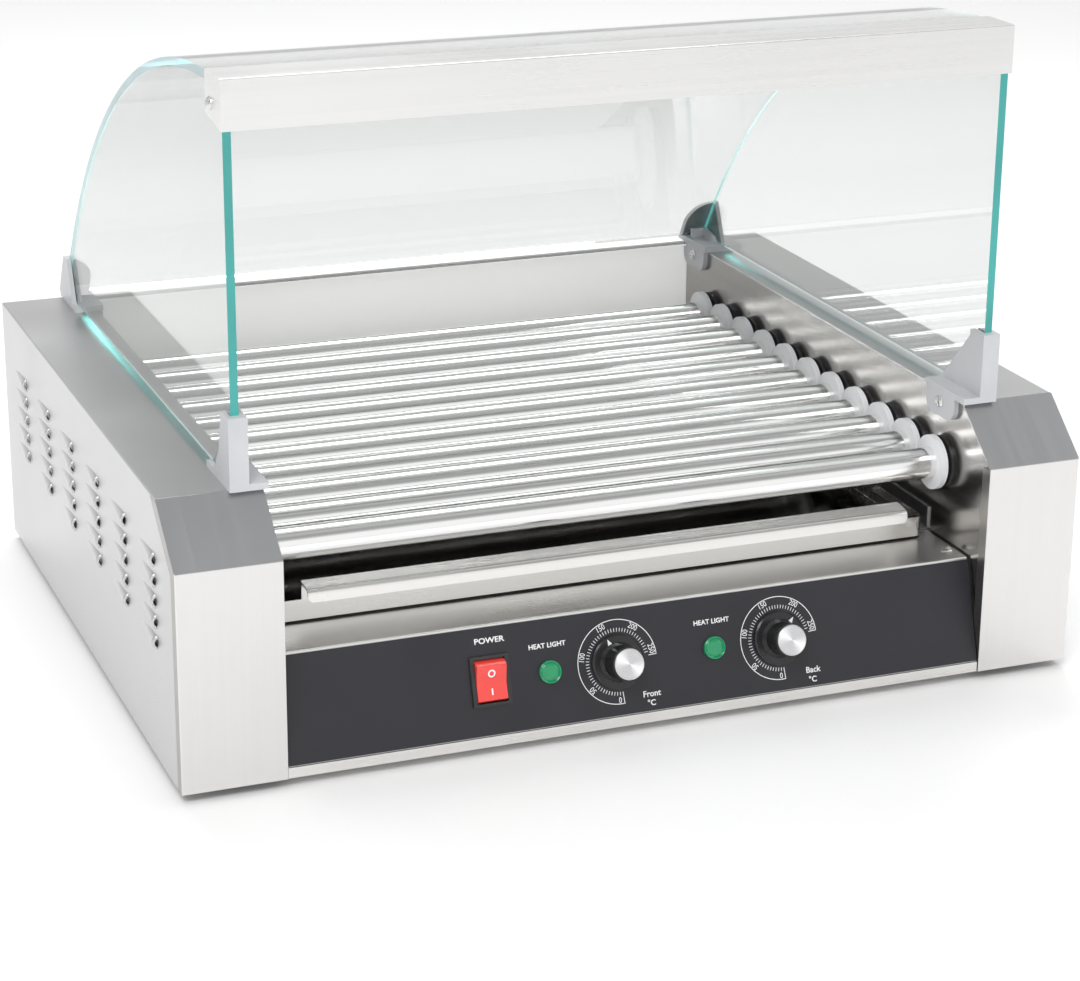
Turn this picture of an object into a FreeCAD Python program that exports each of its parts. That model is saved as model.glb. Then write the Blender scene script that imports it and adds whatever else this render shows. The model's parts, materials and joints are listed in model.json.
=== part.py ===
import FreeCAD, Part

"""Hot dog roller grill with a bent-glass hood.

Millimetres, +Z up.  The origin is on the floor, half way across the machine and half way from
the front of the knobs to the back of the cord gland.  X runs across the machine (along the
rollers), -Y is the side the operator stands on.
"""

import math
import os

import Sketcher
from FreeCAD import Placement, Rotation, Vector

doc = FreeCAD.newDocument("roller_grill")
sheet = doc.addObject("Spreadsheet::Sheet", "Sizes")

ALONG_X = Rotation(Vector(0, 1, 0), 90)
UPRIGHT = Rotation()


# ----------------------------------------------------------------------------------------------
# Driving dimensions
# ----------------------------------------------------------------------------------------------

class Size:
    """A length known both as a number and as an expression on the sheet."""

    def __init__(self, text, value):
        self.text = text
        self.value = value

    def __add__(self, other):
        other = as_size(other)
        return Size(f"({self.text} + {other.text})", self.value + other.value)

    def __sub__(self, other):
        other = as_size(other)
        return Size(f"({self.text} - {other.text})", self.value - other.value)

    def __mul__(self, other):
        other = as_size(other)
        return Size(f"({self.text} * {other.text})", self.value * other.value)

    def __truediv__(self, other):
        other = as_size(other)
        return Size(f"({self.text} / {other.text})", self.value / other.value)

    def __neg__(self):
        return Size(f"(0 - {self.text})", -self.value)

    __radd__ = __add__
    __rmul__ = __mul__

    def __rsub__(self, other):
        return as_size(other) - self


def as_size(value):
    return value if isinstance(value, Size) else Size(f"({value})", float(value))


def cell(alias, value):
    """Put a driving dimension in the next row of the sheet and return it as a Size."""
    row = cell.next_row
    cell.next_row += 1
    sheet.set(f"A{row}", alias)
    sheet.set(f"B{row}", str(value))
    sheet.setAlias(f"B{row}", alias)
    return Size(f"Sizes.{alias}", float(value))


cell.next_row = 1

# Outline of the casing.
body_width = cell("body_width", 580)
body_depth = cell("body_depth", 464.8)
body_height = cell("body_height", 167)
box_width = cell("box_width", 62)
face_height = cell("face_height", 135)
chamfer_back = cell("chamfer_back", 38)
foot_height = cell("foot_height", 6)
gauge = cell("gauge", 1.2)
seam = cell("seam", 0.3)

# Rollers and what carries, turns and heats them.
roller_count = 11
roller_pitch = cell("roller_pitch", 35.5)
first_roller_back = cell("first_roller_back", 62.4)
roller_rise = cell("roller_rise", 121)
roller_radius = cell("roller_radius", 10)
roller_wall = cell("roller_wall", 1)
roller_overrun = cell("roller_overrun", 21)
running_gap = cell("running_gap", 0.06)
collar_radius = cell("collar_radius", 17.5)
collar_thick = cell("collar_thick", 4)
bush_flange_radius = cell("bush_flange_radius", 16.4)
bush_flange_thick = cell("bush_flange_thick", 5)
bush_lip_thick = cell("bush_lip_thick", 2)
bush_neck_radius = cell("bush_neck_radius", 12.4)
bush_spigot_radius = cell("bush_spigot_radius", 13)
bush_length = cell("bush_length", 11)
heater_radius = cell("heater_radius", 4.2)
heater_overrun = cell("heater_overrun", 34)
insulator_radius = cell("insulator_radius", 6)
insulator_length = cell("insulator_length", 11)
retainer_standoff = cell("retainer_standoff", 27)
retainer_height = cell("retainer_height", 26)
retainer_end_gap = cell("retainer_end_gap", 28)

# Chain drive in the right-hand box.
sprocket_teeth = 14
chain_pitch = cell("chain_pitch", 6.35)
chain_roller_radius = cell("chain_roller_radius", 1.65)
chain_plate_height = cell("chain_plate_height", 5.8)
chain_plate_thick = cell("chain_plate_thick", 0.8)
chain_inner_width = cell("chain_inner_width", 3.2)
sprocket_pitch_radius = cell("sprocket_pitch_radius", 14.268)
sprocket_tip_radius = cell("sprocket_tip_radius", 15.7)
tooth_thick = cell("tooth_thick", 2.8)
sprocket_boss_radius = cell("sprocket_boss_radius", 11)
sprocket_boss_length = cell("sprocket_boss_length", 5)
sprocket_standoff = cell("sprocket_standoff", 11)
motor_axis_back = cell("motor_axis_back", 252.4)
motor_axis_rise = cell("motor_axis_rise", 55)
motor_shaft_radius = cell("motor_shaft_radius", 4)
motor_standoff = cell("motor_standoff", 19)
gearbox_size = cell("gearbox_size", 62)
gearbox_thick = cell("gearbox_thick", 15)
stator_size = cell("stator_size", 48)
stator_thick = cell("stator_thick", 20)
motor_pillar_radius = cell("motor_pillar_radius", 4)
idler_axis_back = cell("idler_axis_back", 162.4)
idler_axis_rise = cell("idler_axis_rise", 80)

# Drip tray and its runners.
tray_half_width = cell("tray_half_width", 217)
tray_front_back = cell("tray_front_back", 62.7)
tray_length = cell("tray_length", 372)
tray_rise = cell("tray_rise", 71.4)
tray_depth = cell("tray_depth", 13)
tray_gauge = cell("tray_gauge", 1)
tray_hem = cell("tray_hem", 8)
tray_corner = cell("tray_corner", 5)
lip_half_width = cell("lip_half_width", 198)
lip_rise = cell("lip_rise", 95)
lip_reach = cell("lip_reach", 12)
lip_drop = cell("lip_drop", 6.5)
lip_bend = cell("lip_bend", 2.6)
lip_corner = cell("lip_corner", 5)
runner_shelf = cell("runner_shelf", 22)
runner_upstand = cell("runner_upstand", 14)

# Front housing: ledge, leaning control panel and bottom lip.
housing_half_width = cell("housing_half_width", 226.4)
ledge_rise = cell("ledge_rise", 70)
ledge_rear_back = cell("ledge_rear_back", 74)
panel_top_back = cell("panel_top_back", 22)
panel_bottom_back = cell("panel_bottom_back", 2.2)
panel_bottom_rise = cell("panel_bottom_rise", 6.5)
lip_front_back = cell("lip_front_back", 0.8)
fascia_thick = cell("fascia_thick", 1.2)
fascia_height = cell("fascia_height", 64.5)

# Controls, placed on the fascia by x and by height up its slope.
control_height = cell("control_height", 33)
switch_x = cell("switch_x", -98.2)
switch_width = cell("switch_width", 24.5)
switch_height = cell("switch_height", 30.2)
switch_proud = cell("switch_proud", 1.6)
switch_body_depth = cell("switch_body_depth", 20)
switch_hollow_width = cell("switch_hollow_width", 19.4)
rocker_radius = cell("rocker_radius", 13)
rocker_pivot_depth = cell("rocker_pivot_depth", 5.5)
rocker_width = cell("rocker_width", 18.8)
rocker_crease = cell("rocker_crease", 5.8)
rocker_wing = cell("rocker_wing", 8.3)
rocker_belly = cell("rocker_belly", 7.5)
rocker_tilt = 9.0
lamp_radius = cell("lamp_radius", 7)
lamp_proud = cell("lamp_proud", 2.2)
lamp_body_radius = cell("lamp_body_radius", 5.6)
lamp_body_depth = cell("lamp_body_depth", 18)
front_lamp_x = cell("front_lamp_x", -60.3)
back_lamp_x = cell("back_lamp_x", 47.4)
front_dial_x = cell("front_dial_x", -16.5)
back_dial_x = cell("back_dial_x", 91)
skirt_radius = cell("skirt_radius", 16.8)
skirt_gap = cell("skirt_gap", 0.6)
skirt_thick = cell("skirt_thick", 1.8)
grip_foot_radius = cell("grip_foot_radius", 12.2)
grip_radius = cell("grip_radius", 10.3)
grip_height = cell("grip_height", 18)
cap_radius = cell("cap_radius", 9.5)
cap_thick = cell("cap_thick", 1.4)
stem_radius = cell("stem_radius", 3)
stem_depth = cell("stem_depth", 12)
thermostat_size = cell("thermostat_size", 34)
thermostat_depth = cell("thermostat_depth", 26)

# Glass hood.
glass_thick = cell("glass_thick", 5)
glass_radius = cell("glass_radius", 460)
glass_centre_back = cell("glass_centre_back", 67.4)
glass_top_rise = cell("glass_top_rise", 402)
glass_foot_rise = cell("glass_foot_rise", 171)
glass_gap = cell("glass_gap", 0.2)
pane_outer_x = cell("pane_outer_x", 244.6)
pane_front_back = cell("pane_front_back", 39)
curve_lead = 3.3
rail_half_width = cell("rail_half_width", 245.8)
rail_front_back = cell("rail_front_back", 36.6)
rail_depth = cell("rail_depth", 31.5)
rail_height = cell("rail_height", 29.2)
rail_top_rise = cell("rail_top_rise", 403.3)
rail_gauge = cell("rail_gauge", 1)
rail_return = cell("rail_return", 2)
rail_screw_back = cell("rail_screw_back", 58)
rail_screw_rise = cell("rail_screw_rise", 386)

# Clips that hold the glass on the boxes.
clip_base_thick = cell("clip_base_thick", 4)
clip_tab_thick = cell("clip_tab_thick", 3.4)
clip_outer_x = cell("clip_outer_x", 247.6)
clip_post_width = cell("clip_post_width", 11.6)
clip_post_depth = cell("clip_post_depth", 17)
clip_post_height = cell("clip_post_height", 44)
clip_post_wall = cell("clip_post_wall", 5.4)
clip_front_back = cell("clip_front_back", 33.4)
clip_length = cell("clip_length", 50)
clip_tab_length = cell("clip_tab_length", 36)
clip_tab_drop = cell("clip_tab_drop", 16)
clip_tab_corner = cell("clip_tab_corner", 9)
gusset_thick = cell("gusset_thick", 3)
fin_thick = cell("fin_thick", 4)
fin_rise = cell("fin_rise", 199.5)
fin_corner = cell("fin_corner", 17)
lug_height = cell("lug_height", 7)
lug_wall = cell("lug_wall", 2.6)

# Fasteners, feet and gland.
screw_shank_radius = cell("screw_shank_radius", 1.9)
screw_head_radius = cell("screw_head_radius", 4)
screw_head_height = cell("screw_head_height", 2.4)
foot_radius = cell("foot_radius", 13)
gland_radius = cell("gland_radius", 10)
gland_proud = cell("gland_proud", 10.9)

# Louvres pressed out of the side covers.
louvre_columns = 6
louvre_rows = 5
louvre_length = cell("louvre_length", 40)
cover_wrap = cell("cover_wrap", 8)
fold_radius = cell("fold_radius", 1.1)
ledge_fold_radius = cell("ledge_fold_radius", 1)
rail_fold_radius = cell("rail_fold_radius", 0.9)
louvre_radius = cell("louvre_radius", 4.8)
louvre_tilt = 5.0
louvre_lip = cell("louvre_lip", 1.2)
louvre_sink = cell("louvre_sink", 1.5)
louvre_metal = cell("louvre_metal", 1.8)
louvre_column_pitch = cell("louvre_column_pitch", 69.6)
louvre_row_pitch = cell("louvre_row_pitch", 12.8)
louvre_first_back = cell("louvre_first_back", 45.4)
louvre_first_rise = cell("louvre_first_rise", 76.5)

doc.recompute()

# Planes that many sub-parts share.
floor_up = foot_height
front_y = -(body_depth / 2)
rear_y = body_depth / 2
outer_x = body_width / 2
wall_x = body_width / 2 - box_width
roller_z = floor_up + roller_rise
first_roller_y = front_y + first_roller_back
sprocket_x = wall_x + sprocket_standoff


def roller_y(index):
    return first_roller_y + roller_pitch * index


fold_reach = 0.001

# ----------------------------------------------------------------------------------------------
# Ways of making things
# ----------------------------------------------------------------------------------------------

def bind(item, prop, size):
    item.setExpression(prop, as_size(size).text)


def set_down(item, x, y, z, turn=UPRIGHT):
    """Place an object with its origin on three sizes."""
    spots = [as_size(value) for value in (x, y, z)]
    item.Placement = Placement(Vector(*[spot.value for spot in spots]), turn)
    for axis, spot in zip("xyz", spots):
        bind(item, f".Placement.Base.{axis}", spot)
    return item


def block(name, low, high):
    """A Part::Box between two corners given as sizes."""
    item = doc.addObject("Part::Box", name)
    for prop, near, far in zip(("Length", "Width", "Height"), low, high):
        bind(item, prop, as_size(far) - near)
    return set_down(item, *low)


def rod(name, radius, length, x, y, z, turn=ALONG_X):
    """A Part::Cylinder that starts at a point and runs along its turned axis."""
    item = doc.addObject("Part::Cylinder", name)
    bind(item, "Radius", radius)
    bind(item, "Height", length)
    return set_down(item, x, y, z, turn)


def cut(name, base, tool):
    item = doc.addObject("Part::Cut", name)
    item.Base = base
    item.Tool = tool
    return item


def fuse(name, *pieces):
    item = doc.addObject("Part::MultiFuse", name)
    item.Shapes = list(pieces)
    return item


def common(name, first, second):
    item = doc.addObject("Part::MultiCommon", name)
    item.Shapes = [first, second]
    return item


def mirrored(name, source):
    """The same sub-part on the other side of the machine."""
    item = doc.addObject("Part::Mirroring", name)
    item.Source = source
    item.Normal = Vector(1, 0, 0)
    return item


def copies(name, source, spots):
    """Separate solids of one shape, set down at each (x, y, z) of sizes."""
    doc.recompute()
    solids = []
    for spot in spots:
        solid = source.Shape.copy()
        solid.translate(Vector(*[as_size(value).value for value in spot]))
        solids.extend(solid.Solids)
    item = doc.addObject("Part::Feature", name)
    item.Shape = Part.makeCompound(solids)
    return item


def gather(name, *sources):
    """The solids of several objects side by side in one sub-part."""
    doc.recompute()
    item = doc.addObject("Part::Feature", name)
    item.Shape = Part.makeCompound([solid for source in sources for solid in source.Shape.Solids])
    return item


def new_body(name):
    return doc.addObject("PartDesign::Body", name)


def new_sketch(body, role, name="Outline"):
    """A sketch on one of a body's own origin planes."""
    sketch = body.newObject("Sketcher::SketchObject", body.Name + name)
    plane = [item for item in body.Origin.OriginFeatures if item.Role == role][0]
    sketch.AttachmentSupport = [(plane, "")]
    sketch.MapMode = "FlatFace"
    return sketch


def pin_point(sketch, line, end, x, y):
    """Hold one end of a line at a pair of sizes from the sketch's origin."""
    for kind, size in (("DistanceX", as_size(x)), ("DistanceY", as_size(y))):
        index = sketch.addConstraint(Sketcher.Constraint(kind, -1, 1, line, end, size.value))
        bind(sketch, f"Constraints[{index}]", size)


def draw_path(sketch, points, closed=True):
    """Straight runs through points that are pairs of sizes."""
    spots = [(as_size(x), as_size(y)) for x, y in points]
    if closed:
        spots.append(spots[0])
    first = sketch.GeometryCount
    for (x0, y0), (x1, y1) in zip(spots, spots[1:]):
        start = Vector(x0.value, y0.value, 0)
        end = Vector(x1.value, y1.value, 0)
        sketch.addGeometry(Part.LineSegment(start, end), False)
    count = sketch.GeometryCount - first
    for step in range(count - 1):
        sketch.addConstraint(
            Sketcher.Constraint("Coincident", first + step, 2, first + step + 1, 1))
    if closed:
        sketch.addConstraint(Sketcher.Constraint("Coincident", first + count - 1, 2, first, 1))
    for step, (x, y) in enumerate(spots[:count]):
        pin_point(sketch, first + step, 1, x, y)
    if not closed:
        pin_point(sketch, first + count - 1, 2, *spots[-1])


def draw_circle(sketch, radius, x=0, y=0):
    """A circle with its radius and centre held by sizes."""
    x, y, radius = as_size(x), as_size(y), as_size(radius)
    spot = Vector(x.value, y.value, 0)
    index = sketch.addGeometry(Part.Circle(spot, Vector(0, 0, 1), radius.value), False)
    dimension = sketch.addConstraint(Sketcher.Constraint("Radius", index, radius.value))
    bind(sketch, f"Constraints[{dimension}]", radius)
    pin_point(sketch, index, 3, x, y)


def pad(body, sketch, length, name="Pad", reverse=False):
    feature = body.newObject("PartDesign::Pad", body.Name + name)
    feature.Profile = sketch
    feature.Reversed = reverse
    bind(feature, "Length", length)
    doc.recompute()
    return feature


def pocket(body, sketch, name="Pocket"):
    """Cut a sketch right through the body, and make sure that it did."""
    before = body.Shape.Volume
    feature = body.newObject("PartDesign::Pocket", body.Name + name)
    feature.Profile = sketch
    feature.Type = "ThroughAll"
    feature.Midplane = True
    doc.recompute()
    if not body.Shape.Volume < before:
        raise RuntimeError(f"{body.Name}: {name} cuts nothing")
    return feature


def revolve(body, sketch, angle=360.0, axis="V_Axis", reverse=False):
    feature = body.newObject("PartDesign::Revolution", body.Name + "Revolution")
    feature.Profile = sketch
    feature.ReferenceAxis = (sketch, [axis])
    feature.Angle = angle
    feature.Reversed = reverse
    doc.recompute()
    return feature


def turned(name, outline):
    """A body turned about its own Z axis from an outline of (radius, height) sizes."""
    body = new_body(name)
    sketch = new_sketch(body, "XZ_Plane")
    draw_path(sketch, outline)
    revolve(body, sketch)
    return body


def ring(name, outer, inner, length):
    """A plain tube along X that starts at the body's origin."""
    body = new_body(name)
    sketch = new_sketch(body, "YZ_Plane")
    draw_circle(sketch, outer)
    draw_circle(sketch, inner)
    pad(body, sketch, length)
    return body


def plate(name, role, points, thickness):
    """A flat plate padded from a closed outline on one origin plane."""
    body = new_body(name)
    sketch = new_sketch(body, role)
    draw_path(sketch, points)
    pad(body, sketch, thickness)
    return body


def bent_sheet(name, points, thickness, width, x_start):
    """A folded sheet: an open path across Y and Z, thickened to one side, extruded along X."""
    path = doc.addObject("Sketcher::SketchObject", name + "Path")
    path.Placement = Placement(Vector(0, 0, 0), Rotation(Vector(1, 1, 1), 120))
    draw_path(path, points, closed=False)
    skin = doc.addObject("Part::Offset2D", name + "Skin")
    skin.Source = path
    skin.Mode = "Skin"
    skin.Join = "Intersection"
    skin.Fill = True
    bind(skin, "Value", thickness)
    item = doc.addObject("Part::Extrusion", name)
    item.Base = skin
    item.DirMode = "Custom"
    item.Dir = Vector(1, 0, 0)
    item.Solid = True
    bind(item, "LengthFwd", width)
    return set_down(item, x_start, 0, 0)


def round_folds(name, source, radius, folds, sheet=0):
    """Round the straight edges of a sheet along given axes.

    Each fold is an axis and the sizes of the other two directions, in X, Y, Z order. With a
    sheet thickness the other side of each bend is rounded about the same centre.
    """
    if "Refine" in source.PropertiesList:
        source.Refine = True
    doc.recompute()
    chosen = {}
    near, thick = as_size(radius).value, as_size(sheet).value
    for axis, *spot in folds:
        across = ["XYZ".index(letter) for letter in "XYZ" if letter != axis]
        for number, edge in enumerate(source.Shape.Edges, 1):
            gap = max(
                abs(vertex.Point[way] - as_size(size).value)
                for vertex in edge.Vertexes for way, size in zip(across, spot)
            )
            if gap < fold_reach:
                chosen[number] = near
            elif gap < thick + fold_reach:
                chosen[number] = near + thick
    if len(chosen) < len(folds):
        raise RuntimeError(f"{name}: a fold has no edge")
    item = doc.addObject("Part::Fillet", name)
    item.Base = source
    item.Edges = [(number, reach, reach) for number, reach in chosen.items()]
    doc.recompute()
    if not item.Shape.isValid() or len(item.Shape.Faces) <= len(source.Shape.Faces):
        raise RuntimeError(f"{name}: the folds are not rounded")
    return item


def finish(item, node):
    """Give a finished sub-part the name of its node."""
    item.Label = node
    finished.append(item)
    return item


finished = []


def root_of(size):
    return Size(f"sqrt({size.text})", math.sqrt(size.value))


# ----------------------------------------------------------------------------------------------
# The leaning control panel: x across, then up its slope, then out towards the operator
# ----------------------------------------------------------------------------------------------

panel_run = panel_top_back - panel_bottom_back
panel_climb = ledge_rise - panel_bottom_rise
panel_slope = root_of(panel_run * panel_run + panel_climb * panel_climb)
lean_cos = panel_run / panel_slope
lean_sin = panel_climb / panel_slope
lean = math.degrees(math.atan2(panel_climb.value, panel_run.value))


def on_panel(item, x, up_slope, out, extra_turn=0.0):
    """Place an object in the control panel's own frame."""
    y = front_y + panel_bottom_back + lean_cos * up_slope - lean_sin * out
    z = floor_up + panel_bottom_rise + lean_sin * up_slope + lean_cos * out
    return set_down(item, x, y, z, Rotation(Vector(1, 0, 0), lean + extra_turn))


def panel_block(name, x, up_slope, width, height, low, high):
    """A box centred on a point of the panel, between two depths."""
    item = doc.addObject("Part::Box", name)
    bind(item, "Length", width)
    bind(item, "Width", height)
    bind(item, "Height", as_size(high) - low)
    return on_panel(item, as_size(x) - as_size(width) / 2, as_size(up_slope) - height / 2, low)


def panel_rod(name, x, up_slope, radius, low, high):
    """A cylinder that stands square to the panel, between two depths."""
    item = doc.addObject("Part::Cylinder", name)
    bind(item, "Radius", radius)
    bind(item, "Height", as_size(high) - low)
    return on_panel(item, x, up_slope, low)


# ----------------------------------------------------------------------------------------------
# Screws: one button-head screw, laid along X with its head towards +X
# ----------------------------------------------------------------------------------------------

def cross_screw(name, shank_length):
    screw = turned(name, [
        (0, -shank_length),
        (screw_shank_radius, -shank_length),
        (screw_shank_radius, 0),
        (screw_head_radius, 0),
        (screw_head_radius, screw_head_height * 0.4),
        (screw_head_radius * 0.6, screw_head_height),
        (0, screw_head_height),
    ])
    return screw


tab_x = wall_x - clip_tab_thick
front_tab_y = front_y + clip_front_back + clip_length - clip_tab_length / 2 - 2
rear_clip_y = rear_y - 42.4
rear_tab_y = rear_clip_y + clip_tab_length / 2 + 2
tab_screw_z = floor_up + body_height - 6
clip_length_total = clip_tab_thick + gauge + 2

clip_screw = cross_screw("ClipScrew", clip_length_total)
set_down(clip_screw, 0, 0, 0, Rotation(Vector(0, 1, 0), -90))
clip_screws = copies("ClipScrews", clip_screw, [
    (tab_x, front_tab_y, tab_screw_z),
    (tab_x, rear_tab_y, tab_screw_z),
])

rail_screw = cross_screw("RailScrew", rail_gauge + glass_thick + 2)
set_down(rail_screw, 0, 0, 0, ALONG_X)
rail_screws = copies("RailScrews", rail_screw, [
    (rail_half_width, front_y + rail_screw_back, floor_up + rail_screw_rise),
])

ledge_screw = cross_screw("LedgeScrew", 5)
ledge_screws = copies("LedgeScrews", ledge_screw, [
    (housing_half_width - 6, front_y + 36, floor_up + ledge_rise),
])


# ----------------------------------------------------------------------------------------------
# Casing
# ----------------------------------------------------------------------------------------------

def build_base_pan():
    low = (-(outer_x - 4), front_y + 10.4, floor_up + gauge)
    high = (outer_x - 4, rear_y - gauge - seam, floor_up + 14)
    outside = block("PanOutside", low, high)
    inside = block("PanInside", tuple(side + gauge for side in low),
                   (high[0] - gauge, high[1] - gauge, high[2] + 1))
    return finish(cut("BasePan", outside, inside), "base_pan")


def build_feet():
    foot = turned("Foot", [
        (0, 0),
        (foot_radius - 1.5, 0),
        (foot_radius, foot_height + gauge),
        (0, foot_height + gauge),
    ])
    reach_x = outer_x - 32
    reach_y = body_depth / 2 - 34
    corners = [(x, y, 0) for x in (-reach_x, reach_x) for y in (-reach_y, reach_y)]
    return finish(copies("Feet", foot, corners), "feet")


def build_inner_wall():
    """The plate that carries the rollers, with flanges for the top and the base."""
    low = floor_up + gauge * 2
    notch = floor_up + 14.5
    high = floor_up + body_height - gauge
    front = front_y + gauge + 0.1
    back = rear_y - gauge * 2 - seam * 2
    wall = new_body("RightWall")
    outline = new_sketch(wall, "YZ_Plane")
    draw_path(outline, [
        (front, notch),
        (front, floor_up + face_height - 1),
        (front_y + chamfer_back + 1.2, high),
        (back, high),
        (back, low),
        (front_y + 12, low),
        (front_y + 12, notch),
    ])
    pad(wall, outline, gauge)
    hole = new_sketch(wall, "YZ_Plane", "Hole")
    draw_circle(hole, bush_spigot_radius, first_roller_y, roller_z)
    bore = pocket(wall, hole)
    row = wall.newObject("PartDesign::LinearPattern", "RightWallHoles")
    row.Originals = [bore]
    row.Direction = (hole, ["H_Axis"])
    row.Occurrences = roller_count
    bind(row, "Length", roller_pitch * (roller_count - 1))
    wall.Tip = row
    doc.recompute()
    set_down(wall, wall_x, 0, 0)
    flange_top = block("WallTopFlange", (wall_x, front_y + 60, high - gauge),
                       (wall_x + 16, back - 2, high))
    flange_low = block("WallLowFlange", (wall_x, front_y + 30, low),
                       (wall_x + 12, back - 2, low + gauge))
    whole = fuse("WallWithFlanges", wall, flange_top, flange_low)
    return finish(cut("RightInnerWall", whole, clip_screws), "right_inner_wall")


def wrap_corners(depth):
    """Where a line drawn inside the front's profile bends and where it meets the top.

    The first size is measured down from the bend, the second back from the front face.
    """
    climb = body_height - face_height
    slope = root_of(climb * climb + chamfer_back * chamfer_back)
    return (slope - climb) / chamfer_back * depth, chamfer_back + slope / climb * depth


def build_front_cover():
    """Vertical face and chamfer folded from one sheet, returned round both sides."""
    inner = wall_x - gauge
    face = bent_sheet("CoverFace", [
        (front_y, floor_up),
        (front_y, floor_up + face_height),
        (front_y + chamfer_back, floor_up + body_height),
    ], gauge, outer_x - inner, inner)
    bend_drop, top_back = wrap_corners(cover_wrap)
    band = plate("CoverBand", "YZ_Plane", [
        (front_y + gauge * 0.5, floor_up),
        (front_y + gauge * 0.5, floor_up + face_height - 0.4),
        (front_y + chamfer_back - 0.4, floor_up + body_height - 1.6),
        (front_y + top_back - 1.9, floor_up + body_height - 1.6),
        (front_y + cover_wrap, floor_up + face_height - bend_drop),
        (front_y + cover_wrap, floor_up),
    ], gauge)
    set_down(band, outer_x - gauge, 0, 0)
    lap = block("CoverReturn", (inner, front_y + gauge * 0.5, floor_up),
                (wall_x, front_y + 9, floor_up + face_height - 1))
    blank = fuse("CoverBlank", face, band, lap)
    return finish(round_folds("RightFrontCover", blank, fold_radius, [
        ("X", front_y, floor_up + face_height),
        ("Z", outer_x, front_y),
    ]), "right_front_cover")


def build_side_cover():
    """Side and top folded from one sheet, with rows of louvres pressed outwards."""
    wrap = cover_wrap + seam
    bend_drop, top_back = wrap_corners(wrap)
    side = plate("CoverSide", "YZ_Plane", [
        (front_y + wrap, floor_up),
        (front_y + wrap, floor_up + face_height - bend_drop),
        (front_y + top_back, floor_up + body_height),
        (rear_y, floor_up + body_height),
        (rear_y, floor_up),
    ], gauge)
    set_down(side, outer_x - gauge, 0, 0)
    top = block("CoverTop", (wall_x, front_y + chamfer_back + 0.9, floor_up + body_height - gauge),
                (outer_x, rear_y, floor_up + body_height))
    spots = [
        (outer_x - louvre_sink,
         front_y + louvre_first_back + louvre_column_pitch * column,
         floor_up + louvre_first_rise + louvre_row_pitch * row)
        for column in range(louvre_columns) for row in range(louvre_rows)
    ]
    sinking = Rotation(Vector(0, 0, 1), louvre_tilt) * Rotation(Vector(1, 0, 0), -90)
    bump = doc.addObject("Part::Cylinder", "LouvreBar")
    bind(bump, "Radius", louvre_radius)
    bind(bump, "Height", louvre_length)
    doc.recompute()
    mouth = [number for number, edge in enumerate(bump.Shape.Edges, 1)
             if edge.BoundBox.ZMax < fold_reach]
    rounded = doc.addObject("Part::Fillet", "LouvreBump")
    rounded.Base = bump
    rounded.Edges = [(number, louvre_lip.value, louvre_lip.value) for number in mouth]
    rounded.Placement = Placement(Vector(), sinking)
    hollow = doc.addObject("Part::Cylinder", "LouvreHollow")
    bind(hollow, "Radius", louvre_radius - louvre_metal)
    bind(hollow, "Height", louvre_length)
    hollow.Placement = Placement(Vector(0, -1, 0), sinking)
    slab = block("LouvreSlab", (outer_x - gauge * 0.5, front_y, floor_up),
                 (outer_x + 10, rear_y, floor_up + body_height))
    bumps = common("LouvreBumps", copies("LouvreBumpSet", rounded, spots), slab)
    folded = round_folds("CoverFolded", fuse("CoverBlankSide", side, top), fold_radius, [
        ("Y", outer_x, floor_up + body_height),
    ])
    solid = fuse("CoverSolid", folded, bumps)
    hollows = copies("LouvreHollowSet", hollow, spots)
    return finish(cut("RightSideCover", solid, hollows), "right_side_cover")


def build_rear_panel(gland_hole):
    """One sheet across the back, with a stiffening fold between the boxes."""
    high = floor_up + body_height - gauge
    half = outer_x - gauge - 0.2
    sheet_back = block("BackSheet", (-half, rear_y - gauge, floor_up), (half, rear_y, high))
    reach = wall_x - clip_tab_thick - 0.4
    fold = block("BackFold", (-reach, rear_y - 10, high - gauge), (reach, rear_y - gauge * 0.5, high))
    return finish(cut("RearPanel", fuse("BackWithFold", sheet_back, fold), gland_hole), "rear_panel")


def build_gland():
    """Cord gland in the back of the left-hand box, with the hole that it needs."""
    neck = gland_radius * 0.7
    gland = turned("CordGland", [
        (neck - 3, -4),
        (gland_radius - 1, -4),
        (gland_radius - 1, -gauge),
        (neck, -gauge),
        (neck, 0),
        (gland_radius, 0),
        (gland_radius - 1.5, gland_proud),
        (neck - 3, gland_proud),
    ])
    x = -(outer_x - box_width / 2)
    z = floor_up + 30
    point_back = Rotation(Vector(1, 0, 0), -90)
    set_down(gland, x, rear_y, z, point_back)
    hole = rod("GlandHole", neck, 4, x, rear_y - 3, z, point_back)
    finish(gland, "cord_gland")
    return hole


# ----------------------------------------------------------------------------------------------
# Rollers
# ----------------------------------------------------------------------------------------------

def build_rollers():
    length = (wall_x + roller_overrun) * 2
    for index in range(roller_count):
        roller = ring(f"Roller{index + 1:02d}", roller_radius, roller_radius - roller_wall, length)
        set_down(roller, -(wall_x + roller_overrun), roller_y(index), roller_z)
        finish(roller, f"roller_{index + 1:02d}")


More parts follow.
